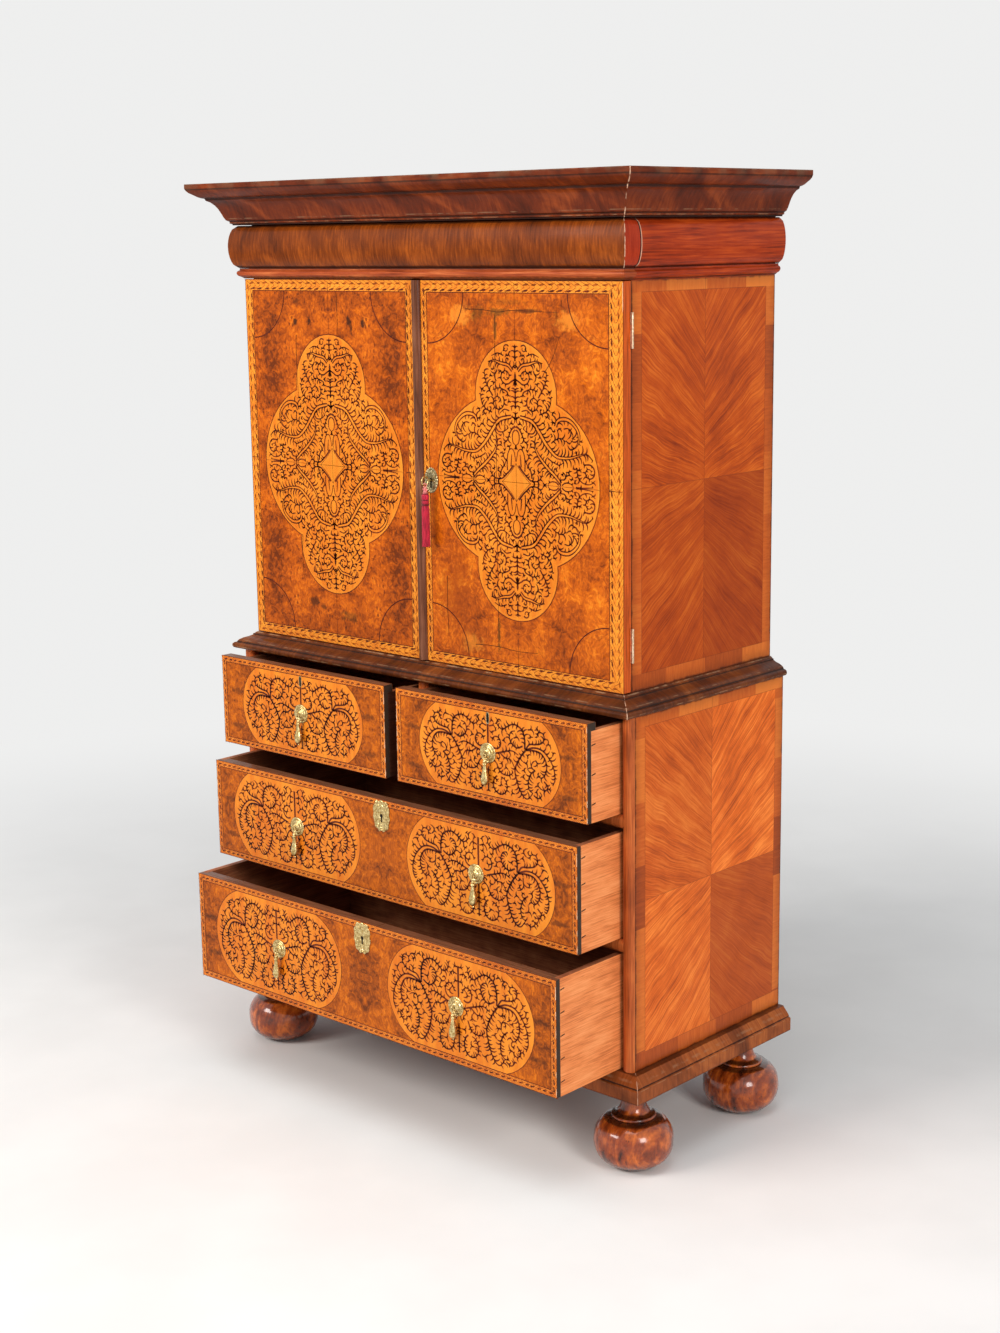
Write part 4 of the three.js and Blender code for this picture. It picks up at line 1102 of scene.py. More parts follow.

# each moulding's dark level lines are painted shade in its quirks with some soiling, and its pale ones wear with
# painted highlights on its arrises
cornice_walnut = moulding_finish(
    "cornice_walnut", CUPBOARD_HALF, DOOR_FACE, shades((58, 20, 6), (104, 39, 11), (152, 68, 24)), 0.0008,
    0.06, shade_and_grime=((1.6785, 0.0026, 0.8), (1.6375, 0.0018, 0.75), (1.6312, 0.0022, 0.9), (1.6965, 0.0016, 0.7)),
    wear_and_highlight=((1.7058, 0.0009, 0.3), (1.6345, 0.0010, 0.4), (1.6425, 0.0009, 0.35)),
    dust=(1.69, 1.705), fascia=1.6965, top=1.7064)
waist_walnut = moulding_finish(
    "waist_walnut", CUPBOARD_HALF, DOOR_FACE, shades((44, 20, 10), (92, 44, 18), (138, 74, 30)), 0.0007, 0.04,
    shade_and_grime=((0.8306, 0.0016, 0.85), (0.8448, 0.0013, 0.8), (0.8184, 0.0016, 0.7)),
    wear_and_highlight=((0.8222, 0.0010, 0.6), (0.8487, 0.0009, 0.6), (0.8345, 0.0007, 0.35)))
base_walnut = moulding_finish(
    "base_walnut", CHEST_HALF, CHEST_FRONT, shades((84, 38, 14), (148, 76, 34), (196, 112, 52)), 0.0002, 0.1,
    shade_and_grime=((0.1700, 0.0014, 0.9), (0.1880, 0.0010, 0.6), (0.1443, 0.0014, 0.5)),
    wear_and_highlight=((0.1783, 0.0022, 0.3), (0.1672, 0.0008, 0.35)), patch=0.09)
cushion_walnut = moulding_finish(
    "cushion_walnut", CUPBOARD_HALF, DOOR_FACE, shades((70, 28, 4), (122, 54, 10), (174, 86, 22)), 0.0006,
    0.05, shade_and_grime=((1.5525, 0.0030, 0.85), (1.6280, 0.0030, 0.8)), patch=0.23, streak=0.0042, stripes=0.5,
    end_tones=shades((140, 36, 10), (182, 58, 24)), joint=-0.0957)
# the neck's lower part and its top edge under the cushion are darkened: painted shade
neck_walnut = wood_finish("neck_walnut", (2, 0, 1), shades((108, 38, 12), (168, 72, 28), (212, 116, 60)),
                          0.003, 30.0, shade_and_grime=((1.5325, 0.0042, 0.8), (1.5502, 0.0018, 0.8)))
bead_walnut = wood_finish("bead_walnut", (0, 1, 2), shades((112, 48, 20), (182, 90, 40), (216, 120, 58)),
                          0.003, 30.0)
meeting_walnut = wood_finish("meeting_walnut", (0, 1, 2), shades((64, 32, 18), (106, 60, 38), (146, 94, 68)),
                             0.003, 30.0, (0.3, 0.42))
inner_oak = wood_finish("lining_oak_inside", (1, 0, 2), shades((84, 42, 22), (120, 66, 36), (148, 90, 54)),
                        0.005, 16.0, (0.55, 0.7), coat=0.0, pores=0.4)
back_boards = board_finish("back_boards", shades((104, 70, 44), (146, 104, 68), (178, 136, 96)), 0.148)
feet_polish = turned_finish("turned_feet")
brass = metal_finish("cast_brass", srgb(226, 204, 146), srgb(166, 138, 84))
hinge_brass = metal_finish("hinge_brass", srgb(238, 212, 180), srgb(200, 170, 138), (0.4, 0.55))
grey_brass = metal_finish("worn_grey_brass", srgb(190, 174, 134), srgb(116, 100, 68))
steel = metal_finish("lock_steel", srgb(200, 198, 194), srgb(120, 116, 110))
silk = silk_finish("crimson_silk", (122, 8, 32), (212, 38, 66))
silk_deep = silk_finish("crimson_binding", (84, 4, 18), (128, 14, 34))
pink_silk = silk_finish("pink_cord", (206, 84, 84), (240, 158, 148))

cupboard_side = quartered_finish(
    "cupboard_side_veneer", CUPBOARD_HALF,
    field=((CHEST_FRONT + 0.055, 0.8785), (CHEST_FRONT + 0.402, 1.5115)),
    middle=(CHEST_FRONT + 0.227, 1.1915),
    tones=shades((132, 46, 8), (186, 76, 14), (218, 108, 30)), quarters=(0.08, 0.0, 0.2, 0.46),
    limits=((DOOR_FACE + 0.0205, 0.8499), (BACK, 1.5315)),
    cushion=(shades((104, 30, 5), (158, 50, 10), (194, 76, 22)), DOOR_FACE + 0.0225))
chest_side = quartered_finish(
    "chest_side_veneer", CHEST_HALF,
    field=((CHEST_FRONT + 0.027, 0.2185), (CHEST_FRONT + 0.405, 0.7965)),
    middle=(CHEST_FRONT + 0.214, 0.4925),
    tones=shades((154, 62, 16), (222, 102, 28), (254, 144, 58)), quarters=(0.34, 0.0, 0.12, 0.64),
    limits=((CHEST_FRONT, 0.1882), (BACK, 0.8178)), slope=(0.55, 2.4))


# The carcass pieces keep their shape
def dress(name, material, edge=0.0006):
    """Gives a carcass piece its finish, with its edges eased by a hair so that they catch the light."""
    piece = nodes[name]
    mesh = piece.data
    mesh.materials.clear()
    mesh.materials.append(material)
    if "custom_normal" in mesh.attributes:
        mesh.attributes.remove(mesh.attributes["custom_normal"])
    mesh.polygons.foreach_set("use_smooth", [True] * len(mesh.polygons))
    weld = piece.modifiers.new("weld", "WELD")
    weld.merge_threshold = 0.00001
    if edge:
        ease = piece.modifiers.new("eased_edges", "BEVEL")
        ease.width, ease.segments, ease.limit_method, ease.angle_limit = edge, 2, "ANGLE", math.radians(34)
        ease.use_clamp_overlap = True
    even = piece.modifiers.new("even_faces", "WEIGHTED_NORMAL")
    even.keep_sharp, even.weight = False, 60


for names, material, edge in (
        ([f"chest_side_{side}" for side in SIDES], chest_side, 0.0012),
        ([f"cabinet_side_{side}" for side in SIDES], cupboard_side, 0.0008),
        ([f"bun_foot_{row}_{side}" for row in ("front", "back") for side in SIDES], feet_polish, 0),
        ([f"hinge_{leaf}_{level}_{side}" for leaf in ("fixed", "door") for level in ("lower", "upper")
          for side in SIDES], hinge_brass, 0),
        (["cornice"], cornice_walnut, 0.0008),
        (["waist_moulding"], waist_walnut, 0.0008),
        (["base_moulding"], base_walnut, 0.0008),
        (["frieze_board"], neck_walnut, 0.0006),
        (["bead_frame"], bead_walnut, 0.0004),
        (["meeting_bead"], meeting_walnut, 0.0004),
        (["drawer_front_frieze"], cushion_walnut, 0.0008),
        (["dustboard_upper", "dustboard_lower", "chest_bottom", "cabinet_bottom", "shelf"], inner_oak,
         0.0006),
        (["chest_back", "cabinet_back"], back_boards, 0.0006),
        (["lock_case", "lock_bolt"], steel, 0.0004),
        (["key"], brass, 0)):
    for name in names:
        dress(name, material, edge)

INNER_BROWN = shades((112, 60, 38), (150, 88, 56), (178, 114, 76))
PALE_OAK = shades((194, 106, 58), (232, 138, 78), (246, 160, 100))
# dark tones: a painted shadow for a box side that faces a narrow gap
SHADED_SIDE = shades((44, 24, 18), (60, 34, 24), (78, 46, 34))
for name in ("frieze", "lower_long", "upper_long", "short_left", "short_right"):
    box = f"drawer_box_{name}"
    # the left short drawer's box is dark on its right side: painted shadow of the gap between the two short
    # drawers
    right = SHADED_SIDE if name == "short_left" else PALE_OAK
    dress(box, box_finish(f"lining_{box}", box, INNER_BROWN, PALE_OAK, right))

# Doors

# how far the inlay's layers lie in front of the veneer
SHEET, FINE, DARK, SCROLLS, WORN = 0.00010, 0.00014, 0.00018, 0.00022, 0.00026
POINTS = 26
KNOT, OLIVE, GLOW = shades((46, 20, 6), (92, 60, 14), (246, 150, 46))
# the middle of the medallion, the widths of the banding (left, right, bottom, top), its outer ends from left
# to right, how many knots and how warm the veneer is, its smudges, and its cracks as lines in millimetres
door_parts = {
    "left": {
        "middle": -0.234, "widths": (20, 17.5, 19.6, 20.5), "ends": (-461.1, -16.1), "knots": 0.9,
        "warmth": 0.38,
        "marks": [(sign * across, up, 0.007, 0.010, 0.9, KNOT) for sign in (-1, 1)
                  for across, up in ((0.091, 0.262), (0.053, 0.266))]
                 + [(-0.086, 0.30, 0.012, 0.008, 0.6, KNOT), (0.060, 0.255, 0.004, 0.016, 0.8, KNOT),
                    (-0.060, -0.262, 0.019, 0.012, 0.75, KNOT), (-0.036, -0.271, 0.010, 0.006, 0.7, KNOT),
                    (0.034, -0.281, 0.026, 0.011, 0.5, OLIVE), (0.044, -0.288, 0.012, 0.006, 0.6, KNOT)],
        "cracks": [[(-89, 238), (-90, 180), (-88, 127)], [(-89, -136), (-91, -180), (-89, -220)],
                   [(23, 316), (24, 270), (22, 236)], [(5, 58), (4, 40), (6, 22)], [(0, 318), (0, 337)],
                   [(0, -318), (0, -337)], [(-206, 4), (-227, 4)], [(193, 0), (216, 0)]],
    },
    "right": {
        "middle": 0.2254, "widths": (14.6, 30, 19.6, 20.5), "ends": (4.4, 461.1), "knots": 0.4, "warmth": 0.5,
        "marks": [(-0.045, 0.262, 0.0045, 0.034, 0.75, OLIVE), (-0.045, -0.270, 0.0045, 0.032, 0.75, OLIVE),
                  (-0.038, 0.288, 0.030, 0.008, 0.7, OLIVE), (0.030, 0.290, 0.030, 0.005, 0.7, KNOT),
                  (-0.125, 0.282, 0.030, 0.020, 0.55, GLOW), (0.118, 0.276, 0.034, 0.018, 0.5, GLOW),
                  (-0.085, 0.286, 0.018, 0.016, 0.45, OLIVE), (-0.02, 0.304, 0.05, 0.007, 0.35, OLIVE),
                  (0.122, 0.324, 0.007, 0.005, 0.9, KNOT), (-0.112, -0.292, 0.03, 0.02, 0.4, GLOW),
                  (-0.150, -0.205, 0.055, 0.095, 0.5, srgb(138, 56, 4))],
        "cracks": [[(-112, 292), (-70, 291), (-40, 288), (0, 291), (40, 290), (98, 288)],
                   [(-46, 285), (-45, 262), (-46, 237)], [(-46, 236), (-45.5, 60), (-46, -60), (-46, -240)],
                   [(-46, -241), (-45, -270), (-46, -298)],
                   [(-102, -294), (-50, -292), (0, -295), (45, -293)],
                   [(-168, -178), (-169, -240), (-167, -288)], [(0, 317), (0, 336)], [(0, -317), (0, -336)],
                   [(60, 180), (85, 215), (100, 250)], [(206, 0), (234, 0)], [(-207, 0), (-221, 0)]],
    },
}
scrolls = door_scrolls()
outline, rim, star = quatrefoil_outline(), quatrefoil_outline(2.0), star_outline()
# a pale strip down the right door's outer arris near its top: bare wood where the polish has gone, with a
# painted highlight
bare = strips([np.linspace((460.4, 1527.5), (460.4, 1478), 8)], [0.6, 0.6, 0.5, 0.6, 0.5, 0.6, 0.4, 0.05])
lay("worn_arris_door_right", bare, (0, 0), DOOR_FACE, bare_wood, "door_right", 0.0003)
for side, part in door_parts.items():
    body = f"door_{side}"
    middle = (part["middle"], DOOR_MIDDLE - 0.001)
    dress(body, burr_finish(f"burr_{body}", body, middle, part["knots"], part["warmth"], part["marks"],
                            upright=True))
    cx, cz = part["middle"] / MM, middle[1] / MM
    low, high = ((end - cx, height / MM - cz) for end, height in zip(part["ends"], (DOOR_LOW, DOOR_HIGH)))
    sheet, darts, feathers = banding(low, high, part["widths"], 19.0, 4 if side == "left" else 9)
    # quarter circles of stringing in the corners, and the seams of the four leaves
    left, right, bottom, top = part["widths"]
    inner = ((low[0] + left, low[1] + bottom), (high[0] - right, low[1] + bottom),
             (high[0] - right, high[1] - top), (low[0] + left, high[1] - top))
    arcs = [spiral(corner, 88, 88, turn * math.pi / 2, 0.25) for turn, corner in enumerate(inner)]
    seams = [np.linspace(start, end, POINTS) for start, end in (
        ((-186, 0), (-36, 0)), ((36, 0), (186, 0)), ((0, -34), (0, 34)), ((-34, 0), (34, 0)),
        ((0, 240), (0, inner[2][1])), ((0, -240), (0, inner[0][1])))]
    chance = np.random.default_rng(7)
    cracks = [through(points, POINTS) + (chance.random((POINTS, 2)) - 0.5) * 0.8 for points in part["cracks"]]
    for kind, flat, material, lift in (
            ("banding", sheet, band_inlay, SHEET),
            ("banding_feathers", feathers, feather_inlay, FINE),
            ("banding_darts", darts, dark_inlay, DARK),
            ("medallion", sheet_to_middle(outline), light_inlay, SHEET),
            ("medallion_rim", sheet_between(rim, quatrefoil_outline(4.2)), rim_inlay, FINE),
            ("star", sheet_to_middle(star), rim_inlay, FINE),
            ("medallion_line", gather([closed_strip(outline, 0.8), closed_strip(star, 0.45)]), dark_inlay,
             DARK),
            ("scrollwork", scrolls, dark_inlay, SCROLLS),
            ("cracks", strips(cracks, np.linspace(0.7, 0.35, POINTS)), crack_dark, WORN),
            ("stringing", gather([strips(arcs, 1.0), strips(seams, 0.35)]), stringing_dark, FINE)):
        lay(f"{kind}_{body}", flat, middle, DOOR_FACE, material, body, lift)

# Drawers of the chest

# width, height, places of the medallions, their shape and the width of the banding, in millimetres
SHORT = (446.1, 171.5, (0,), (79.8, 86.2, 74), 11.5)
drawer_parts = {
    "short_left": SHORT, "short_right": SHORT,
    "upper_long": (920.1, 187.8, (-236, 236), (78.9, 97, 82.5), 11.5),
    "lower_long": (920.1, 208.5, (-236, 236), (78.9, 97, 91.5), 12.5),
}
scroll_designs = {shape: drawer_scrolls(*shape) for shape in {part[3] for part in drawer_parts.values()}}
for name, (width, height, medallions, shape, border) in drawer_parts.items():
    front, body = f"drawer_front_{name}", f"drawer_{name}"
    face, centre = corners(front)[0][1], centre_of(front)
    marks = [(sign * (width / 2 - 42) * MM, rise, 0.026, 0.006, 0.6, srgb(70, 32, 6))
             for sign in (-1, 1) for rise in (0.022, -0.048)]
    dress(front, burr_finish(f"burr_{name}", front, centre, 0.3, 0.36, marks, srgb(122, 78, 54),
                             srgb(34, 27, 22), (1.0, 1.13, 0.7, 1)))
    half = np.array([width, height]) / 2
    sheet, darts, feathers = banding(-half, half, (border,) * 4, 13.5, len(name))
    # short bare lengths on both end arrises
    chance = np.random.default_rng(len(name) + 20)
    starts, lengths = np.linspace(-half[1] + 2, half[1] - 34, 6), 8 + 22 * chance.random((2, 6))
    bare = [np.linspace((sign * (half[0] - 0.9), start), (sign * (half[0] - 0.9), start + long), 8)
            for sign, side_lengths in zip((-1, 1), lengths) for start, long in zip(starts, side_lengths)]
    for piece, flat, material, lift in (
            (f"banding_{body}", sheet, drawer_band, SHEET),
            (f"banding_feathers_{body}", feathers, feather_inlay, FINE),
            (f"banding_darts_{body}", darts, dark_inlay, DARK),
            (f"worn_arrises_{name}", strips(bare, 0.65 * chance.random((12, 8)) + 0.05), bare_wood, WORN)):
        lay(piece, flat, centre, face, material, body, lift)
    edge = drawer_outline(*shape)
    for number, across in enumerate(medallions):
        for kind, flat, material, lift in (
                ("medallion", sheet_to_middle(edge), light_inlay, 0.00008),
                ("medallion_line", closed_strip(edge, 0.6), dark_inlay, 0.00014),
                ("scrollwork", scroll_designs[shape], dark_inlay, 0.00020)):
            lay(f"{kind}_{name}_{number}", flat, centre + (across * MM, 0), face, material, body, lift)


# Keyholes and plates
def keyhole_outline(count, bore=3.2, slit=1.7, drop=10.5):
    """A circle over a straight slit. The radius at each angle is the circle's, or the slit's if longer."""
    turn = round_turn(count)
    x, z = np.cos(turn), np.sin(turn)
    to_side = slit / np.maximum(np.abs(x), 1e-6)
    to_foot = drop / np.maximum(-z, 1e-6)
    radius = np.maximum(bore, np.where(z < 0, np.minimum(to_side, to_foot), 0))
    return np.stack([radius * x, radius * z], -1)


def cast_outline(count, width=43.0, height=60.0):
    """The cast plates' edge: a tall oval with shoulders and eleven small lobes, pointed at its foot."""
    turn = round_turn(count)
    x, z = np.cos(turn), np.sin(turn)
    squared = (np.abs(x) ** 3.1 + np.abs(z) ** 3.1) ** (-1 / 3.1)
    narrower = 1 - 0.17 * np.clip(-z, 0, 1) ** 1.5
    lobes = 0.955 + 0.04 * np.cos(11 * turn + math.pi / 2)
    return np.stack([x * squared * narrower * lobes * width / 2, z * squared * lobes * height / 2 * 0.99], -1)


def swell(share, place, width):
    """A round ridge: e to the minus square of the distance from its place over its width."""
    return np.exp(-(((share - place) / width) ** 2))


def cast_relief(share, turn):
    """A beaded border, a band of curling leaves inside it and a smooth raised oval round the keyhole."""
    border = 1.0 * swell(share, 0.88, 0.08) * (0.55 + 0.45 * np.cos(26 * turn))
    leaves = 0.8 * swell(share, 0.6, 0.16) * (0.5 + 0.5 * np.cos(9 * turn + 7 * share * np.pi))
    oval = 0.9 * swell(share, 0.3, 0.09) + 0.25 * np.cos(18 * turn - 9 * share * np.pi) * (share > 0.42)
    return np.maximum(border + leaves + oval, -0.2) * (share < 0.995)


def oval_relief(share, turn):
    """A domed oval with a ring of pearls at its edge and a hollow inside them."""
    dome = 1.0 * np.sqrt(np.clip(1 - (share * 0.98) ** 2, 0, 1))
    pearls = 1.0 * swell(share, 0.87, 0.07) * (0.45 + 0.55 * np.cos(24 * turn))
    return dome + pearls - 0.3 * swell(share, 0.72, 0.05)


for name in ("upper_long", "lower_long"):
    body, spot = f"drawer_{name}", centre_of(f"escutcheon_{name}")
    face = corners(f"drawer_front_{name}")[0][1]
    plate = plate_between(keyhole_outline(176) * MM * 1.15 + spot, cast_outline(176) * MM + spot, cast_relief,
                          34, face, 0.0013)
    make(f"cast_plate_{name}", *plate, brass, body, "cast_brass", replaces=(f"escutcheon_{name}",))
    # the keyhole is a near-black sheet: painted shade
    lay(f"keyhole_{name}", sheet_to_middle(keyhole_outline(48) * 1.4), spot, face, keyhole_shadow, body, 0.0004,
        "cast_brass")

spot, turn = centre_of("door_escutcheon"), round_turn(272)
rippled = 1 + 0.014 * np.cos(24 * turn)
oval_edge = np.stack([np.cos(turn) * rippled * 16.2, np.sin(turn) * rippled * 22.7], -1) * MM
plate = plate_between(keyhole_outline(272) * 1.3 * MM + spot, oval_edge + spot, oval_relief, 26, DOOR_FACE,
                      0.0006)
make("oval_plate", *plate, grey_brass, "door_right", "cast_brass", replaces=("door_escutcheon",))
# the keyhole is a near-black sheet: painted shade
lay("keyhole_door_right", sheet_to_middle(keyhole_outline(48) * 1.5), spot, DOOR_FACE, keyhole_shadow,
    "door_right", 0.0005, "cast_brass")

turn = round_turn(40)
long_hole = np.stack([np.cos(turn), np.sign(np.sin(turn)) * np.abs(np.sin(turn)) ** 0.35], -1)
for name in ("short_left", "short_right"):
    low, high = corners(f"drawer_front_{name}")
    spot = ((low[0] + high[0]) / 2, high[2] - 0.0225)
    # the keyhole is a near-black sheet of painted shade inside a brass liner
    for kind, size, material, lift in (("keyhole_liner", (3.8, 10.5), grey_brass, 0.00030),
                                       ("keyhole", (2.2, 8.8), keyhole_shadow, 0.00036)):
        lay(f"{kind}_{name}", sheet_to_middle(long_hole * size), spot, low[1], material, f"drawer_{name}",
            lift, "cast_brass")

# Roses and pear drops

# profiles as (radius, height), and the sizes of the staple and of the pear's loop on it
ROSE = np.array([(0, 0), (18, 0), (18, 1.1), (17.4, 1.9), (16.2, 2.3), (15.0, 1.9), (14.0, 1.5), (13.0, 2.0),
                 (12.4, 3.2), (11.4, 4.0), (10.2, 3.9), (9.2, 3.3), (8.0, 3.5), (7.2, 4.8), (6.2, 6.0),
                 (4.6, 6.7), (2.4, 7.0), (0, 7.0)]) * MM
PEAR = np.array([(0, 0), (1.2, 0.3), (1.8, 1.5), (1.2, 2.8), (2.1, 3.5), (4.6, 4.9), (6.7, 8.0), (7.6, 12.5),
                 (7.3, 17), (6.2, 22.5), (4.8, 28.5), (3.7, 34.5), (3.1, 38.8), (3.2, 39.6), (4.4, 40.5),
                 (4.5, 42), (3.3, 42.9), (2.6, 44), (3.4, 45), (3.4, 46.3), (2.3, 47.4), (1.8, 49.5),
                 (1.3, 52), (0, 52.6)]) * MM
STAPLE, STANDOFF, LOOP, PEAR_REACH = 0.0032, 0.009, 0.0028, 0.053


def fine_profile(profile, count):
    """More points along a profile, between the same ends."""
    inner = through(profile[1:-1], count)
    inner[:, 0] = np.clip(inner[:, 0], 0.0003, None)
    return np.concatenate([profile[:1], inner, profile[-1:]])


def hoop(centre, radius, count, axis):
    """A circle of points round a centre, square to one of the three axes."""
    turn = round_turn(count)
    first, second = radius * np.cos(turn), radius * np.sin(turn)
    return centre + np.stack({"across": (0 * turn, first, second), "forwards": (first, 0 * turn, second),
                              "up": (first, second, 0 * turn)}[axis], -1)


for name in ("short_left", "short_right", "upper_long_left", "upper_long_right", "lower_long_left",
             "lower_long_right"):
    drawer = "drawer_" + (name if name.startswith("short") else name.rsplit("_", 1)[0])
    across, up = centre_of(f"rose_{name}")
    centre = np.array([across, corners(f"rose_{name}")[1][1], up])
    staple = centre - (0, STANDOFF, 0)
    hang = staple - (0, 0, STAPLE)
    make(f"stepped_rose_{name}",
         *gather([turning(fine_profile(ROSE, 52), 56, centre, forwards=True),
                  tube(hoop(staple, STAPLE, 28, "across"), 0.00095, closed=True)]),
         brass, drawer, "cast_brass", replaces=(f"rose_{name}",))
    make(f"pear_{name}",
         *gather([turning(fine_profile(PEAR, 60), 40, hang - (0, 0, LOOP + PEAR_REACH)),
                  tube(hoop(hang, LOOP, 28, "forwards"), 0.0009, closed=True)]),
         brass, f"pear_drop_{name}", "cast_brass", replaces=(f"pear_drop_{name}",))

# Tassel
low, high = corners("tassel")
tie = np.array([(low[0] + high[0]) / 2, (low[1] + high[1]) / 2, high[2] - 0.0045])
foot = low[2] - 0.0045 - tie[2]
rise, bends = np.linspace(0, 1, 60), round_turn(90)
strands = [tie + np.stack([0.0011 * np.cos(5 * np.pi * rise + k), 0.0011 * np.sin(5 * np.pi * rise + k),
                           -0.0034 - 0.0135 * rise], -1) for k in (0, 2.1, 4.2)]
knot = tie + np.stack([0.0021 * (np.sin(bends) + 2 * np.sin(2 * bends)) * 0.75, -0.0022 * np.sin(3 * bends),
                       0.0021 * (np.cos(bends) - 2 * np.cos(2 * bends)) - 0.0105], -1)
cord = [tube(hoop(tie, 0.0034, 40, "forwards"), 0.0011, closed=True)]
cord += [tube(line, 0.00085, 8) for line in strands] + [tube(knot, 0.0013, 9, closed=True)]
make("tassel_cord", *gather(cord), pink_silk, "tassel", "silk")
# profiles as (radius in millimetres, height in metres), from the tie
HEAD = np.array([(0, -0.0330), (6.0, -0.0328), (6.7, -0.0305), (6.4, -0.0276), (5.4, -0.0258), (6.6, -0.0240),
                 (6.9, -0.0200), (6.4, -0.0164), (4.2, -0.0150), (0, -0.0148)]) * (MM, 1)
SKIRT = np.array([(0, foot), (7.5, foot), (7.9, foot + 0.004), (7.5, -0.085), (7.3, -0.066), (7.2, -0.050),
                  (7.0, -0.041), (6.3, -0.0362), (0, -0.0345)]) * (MM, 1)


def head_ripple(angle, height):
    """Twenty strands over the head that lean a little to one side."""
    return 1 + 0.05 * np.abs(np.cos(10 * angle + height * 120)) - 0.05


def skirt_ripple(angle, height):
    """Hanging threads: fine and coarse folds round the skirt, which grow towards its foot."""
    grow = np.clip((-0.034 - height) / 0.05, 0, 1)
    fine, coarse = np.cos(30 * angle + 60 * height), np.cos(7 * angle + 1.3)
    return 1 - 0.05 + 0.045 * fine - grow * 0.07 * (0.5 - 0.5 * coarse)


make("tassel_head", *turning(fine_profile(HEAD, 30), 80, tie, ripple=head_ripple), silk, "tassel", "silk")
bands = [tube(hoop(tie + (0, 0, height), radius, 40, "up"), 0.0010, 9, closed=True)
         for radius, height in ((0.0046, -0.0150), (0.0057, -0.0258), (0.0060, -0.0332), (0.0060, -0.0350))]
make("tassel_binding", *gather(bands), silk_deep, "tassel", "silk")
make("tassel_skirt", *turning(fine_profile(SKIRT, 46), 120, tie, ripple=skirt_ripple), silk, "tassel", "silk",
     replaces=("tassel",))

# Dovetails on the drawer sides

# each tail's edge is a dark sliver, 11 mm long, whose four corners stand off its foot by (back, up)
SLIVER = np.array([(0.0004, -0.0012), (0.011, 0.0004), (0.011, 0.0026), (0.0004, 0.0010)])
for name, number in (("short_left", 3), ("short_right", 3), ("upper_long", 4), ("lower_long", 5)):
    low, high = corners(f"drawer_box_{name}")
    feet = low[2] + (high[2] - low[2]) * (np.arange(number) + 0.62) / (number + 0.1)
    slivers = (SLIVER + np.stack([np.full(number, low[1]), feet], -1)[:, None]).reshape(-1, 2)
    for side, sign, x in (("left", -1, low[0] - 0.00005), ("right", 1, high[0] + 0.00005)):
        make(f"dovetails_{name}_{side}", np.column_stack([np.full(len(slivers), x), slivers]),
             np.arange(4 * number).reshape(-1, 4), pin_dark, f"drawer_{name}", "lining_oak",
             facing=(sign, 0, 0), smooth=False)

# Floor, light and camera
BACKDROP = (0.86, 0.86, 0.855, 1.0)
FLOOR_HALF = 14.0
s, place, finish = new_material("pale_floor")
paper = s.step(s.noise(place, 3.0, 4), 0.3, 0.7)
floor_material = finish(s.mix(paper, srgb(232, 232, 230), srgb(238, 238, 236)), 0.8)
# seen from the camera, the floor fades far out into the backdrop's own tone
ends = {node.type: node for node in s.tree.nodes}
glow = s.add("Emission", {"Color": BACKDROP, "Strength": 1.0})
seen = s.step(s.length(place), 0.9, 3.2) * s.add("LightPath", output="Is Camera Ray")
fade = s.add("MixShader", {0: seen, 1: Wire(s, ends["BSDF_PRINCIPLED"].outputs[0]), 2: glow})
s.feed(ends["OUTPUT_MATERIAL"].inputs["Surface"], fade)
floor_mesh = bpy.data.meshes.new("floor")
floor_mesh.from_pydata([(x * FLOOR_HALF, y * FLOOR_HALF, 0) for x, y in ((-1, -1), (1, -1), (1, 1), (-1, 1))],
                       [], [(0, 1, 2, 3)])
floor_mesh.materials.append(floor_material)
floor = bpy.data.objects.new("floor", floor_mesh)
bpy.context.scene.collection.objects.link(floor)

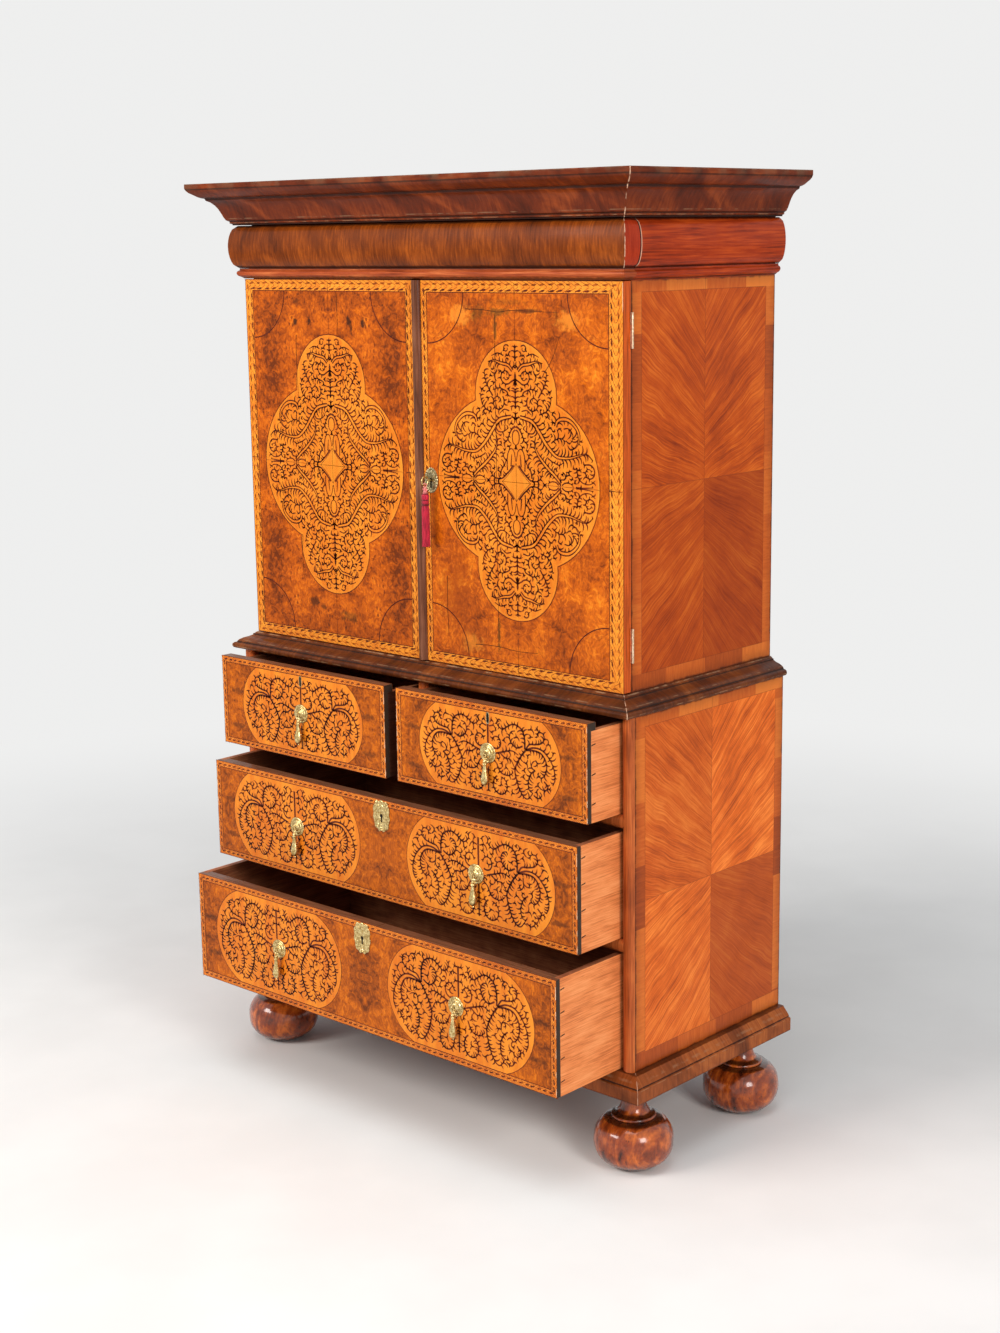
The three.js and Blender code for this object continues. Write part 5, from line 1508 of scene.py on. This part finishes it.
world = bpy.data.worlds.new("studio")
bpy.context.scene.world = world
world.use_nodes = True
s = Shader(world.node_tree)
background = next(n for n in world.node_tree.nodes if n.type == "BACKGROUND")
camera_ray, through_glass, mirrored_ray = (s.add("LightPath", output=f"Is {kind} Ray")
                                           for kind in ("Camera", "Transmission", "Glossy"))
seen = s.most(s.most(camera_ray, through_glass), mirrored_ray)
s.feed(background.inputs["Color"], s.mix(seen, (0.36, 0.37, 0.39, 1.0), BACKDROP))
s.feed(background.inputs["Strength"], 1.0)

# soft square lights that face the cabinet: place, aim, size, power and colour
for name, place, aim, size, power, colour in (
        ("key_light", (-1.6, -4.2, 3.2), (0, 0, 0.9), (2.2, 1.6), 165, (1.0, 0.965, 0.92)),
        ("side_light", (4.4, -1.6, 2.4), (0, 0, 0.8), (1.4, 1.8), 110, (1.0, 0.97, 0.94)),
        ("top_light", (0.4, -1.0, 4.4), (0, 0.1, 0.8), (3.0, 2.4), 60, (1.0, 1.0, 1.0))):
    light = bpy.data.lights.new(name, "AREA")
    light.shape, light.size, light.size_y = "RECTANGLE", *size
    light.energy, light.color = power, colour
    lamp = bpy.data.objects.new(name, light)
    facing = (Vector(aim) - Vector(place)).to_track_quat("-Z", "Y").to_matrix().to_4x4()
    lamp.matrix_world = Matrix.Translation(place) @ facing
    bpy.context.scene.collection.objects.link(lamp)

# the camera stands where the photograph's perspective puts it, to the right and a little above the middle
CAMERA_PLACE = (2.582958, -2.607884 + CHEST_FRONT, 1.603490)
FOCAL_PIXELS, FRAME_PIXELS, SENSOR = 2061.925, 1333, 36.0
yaw, pitch, roll = (math.radians(v) for v in (42.563, 11.791, -0.8186))
ahead = Vector((-math.sin(yaw) * math.cos(pitch), math.cos(yaw) * math.cos(pitch), -math.sin(pitch)))
level = Vector((math.cos(yaw), math.sin(yaw), 0))
upward = level.cross(ahead)
right = math.cos(roll) * level + math.sin(roll) * upward
up = -math.sin(roll) * level + math.cos(roll) * upward
lens = bpy.data.cameras.new("camera")
lens.sensor_width, lens.lens = SENSOR, FOCAL_PIXELS / FRAME_PIXELS * SENSOR
camera = bpy.data.objects.new("camera", lens)
turned = Matrix((right, up, -ahead)).transposed().to_4x4()
turned.translation = Vector(CAMERA_PLACE)
camera.matrix_world = turned
bpy.context.scene.collection.objects.link(camera)
bpy.context.scene.camera = camera
bpy.context.scene.view_settings.view_transform = "Standard"
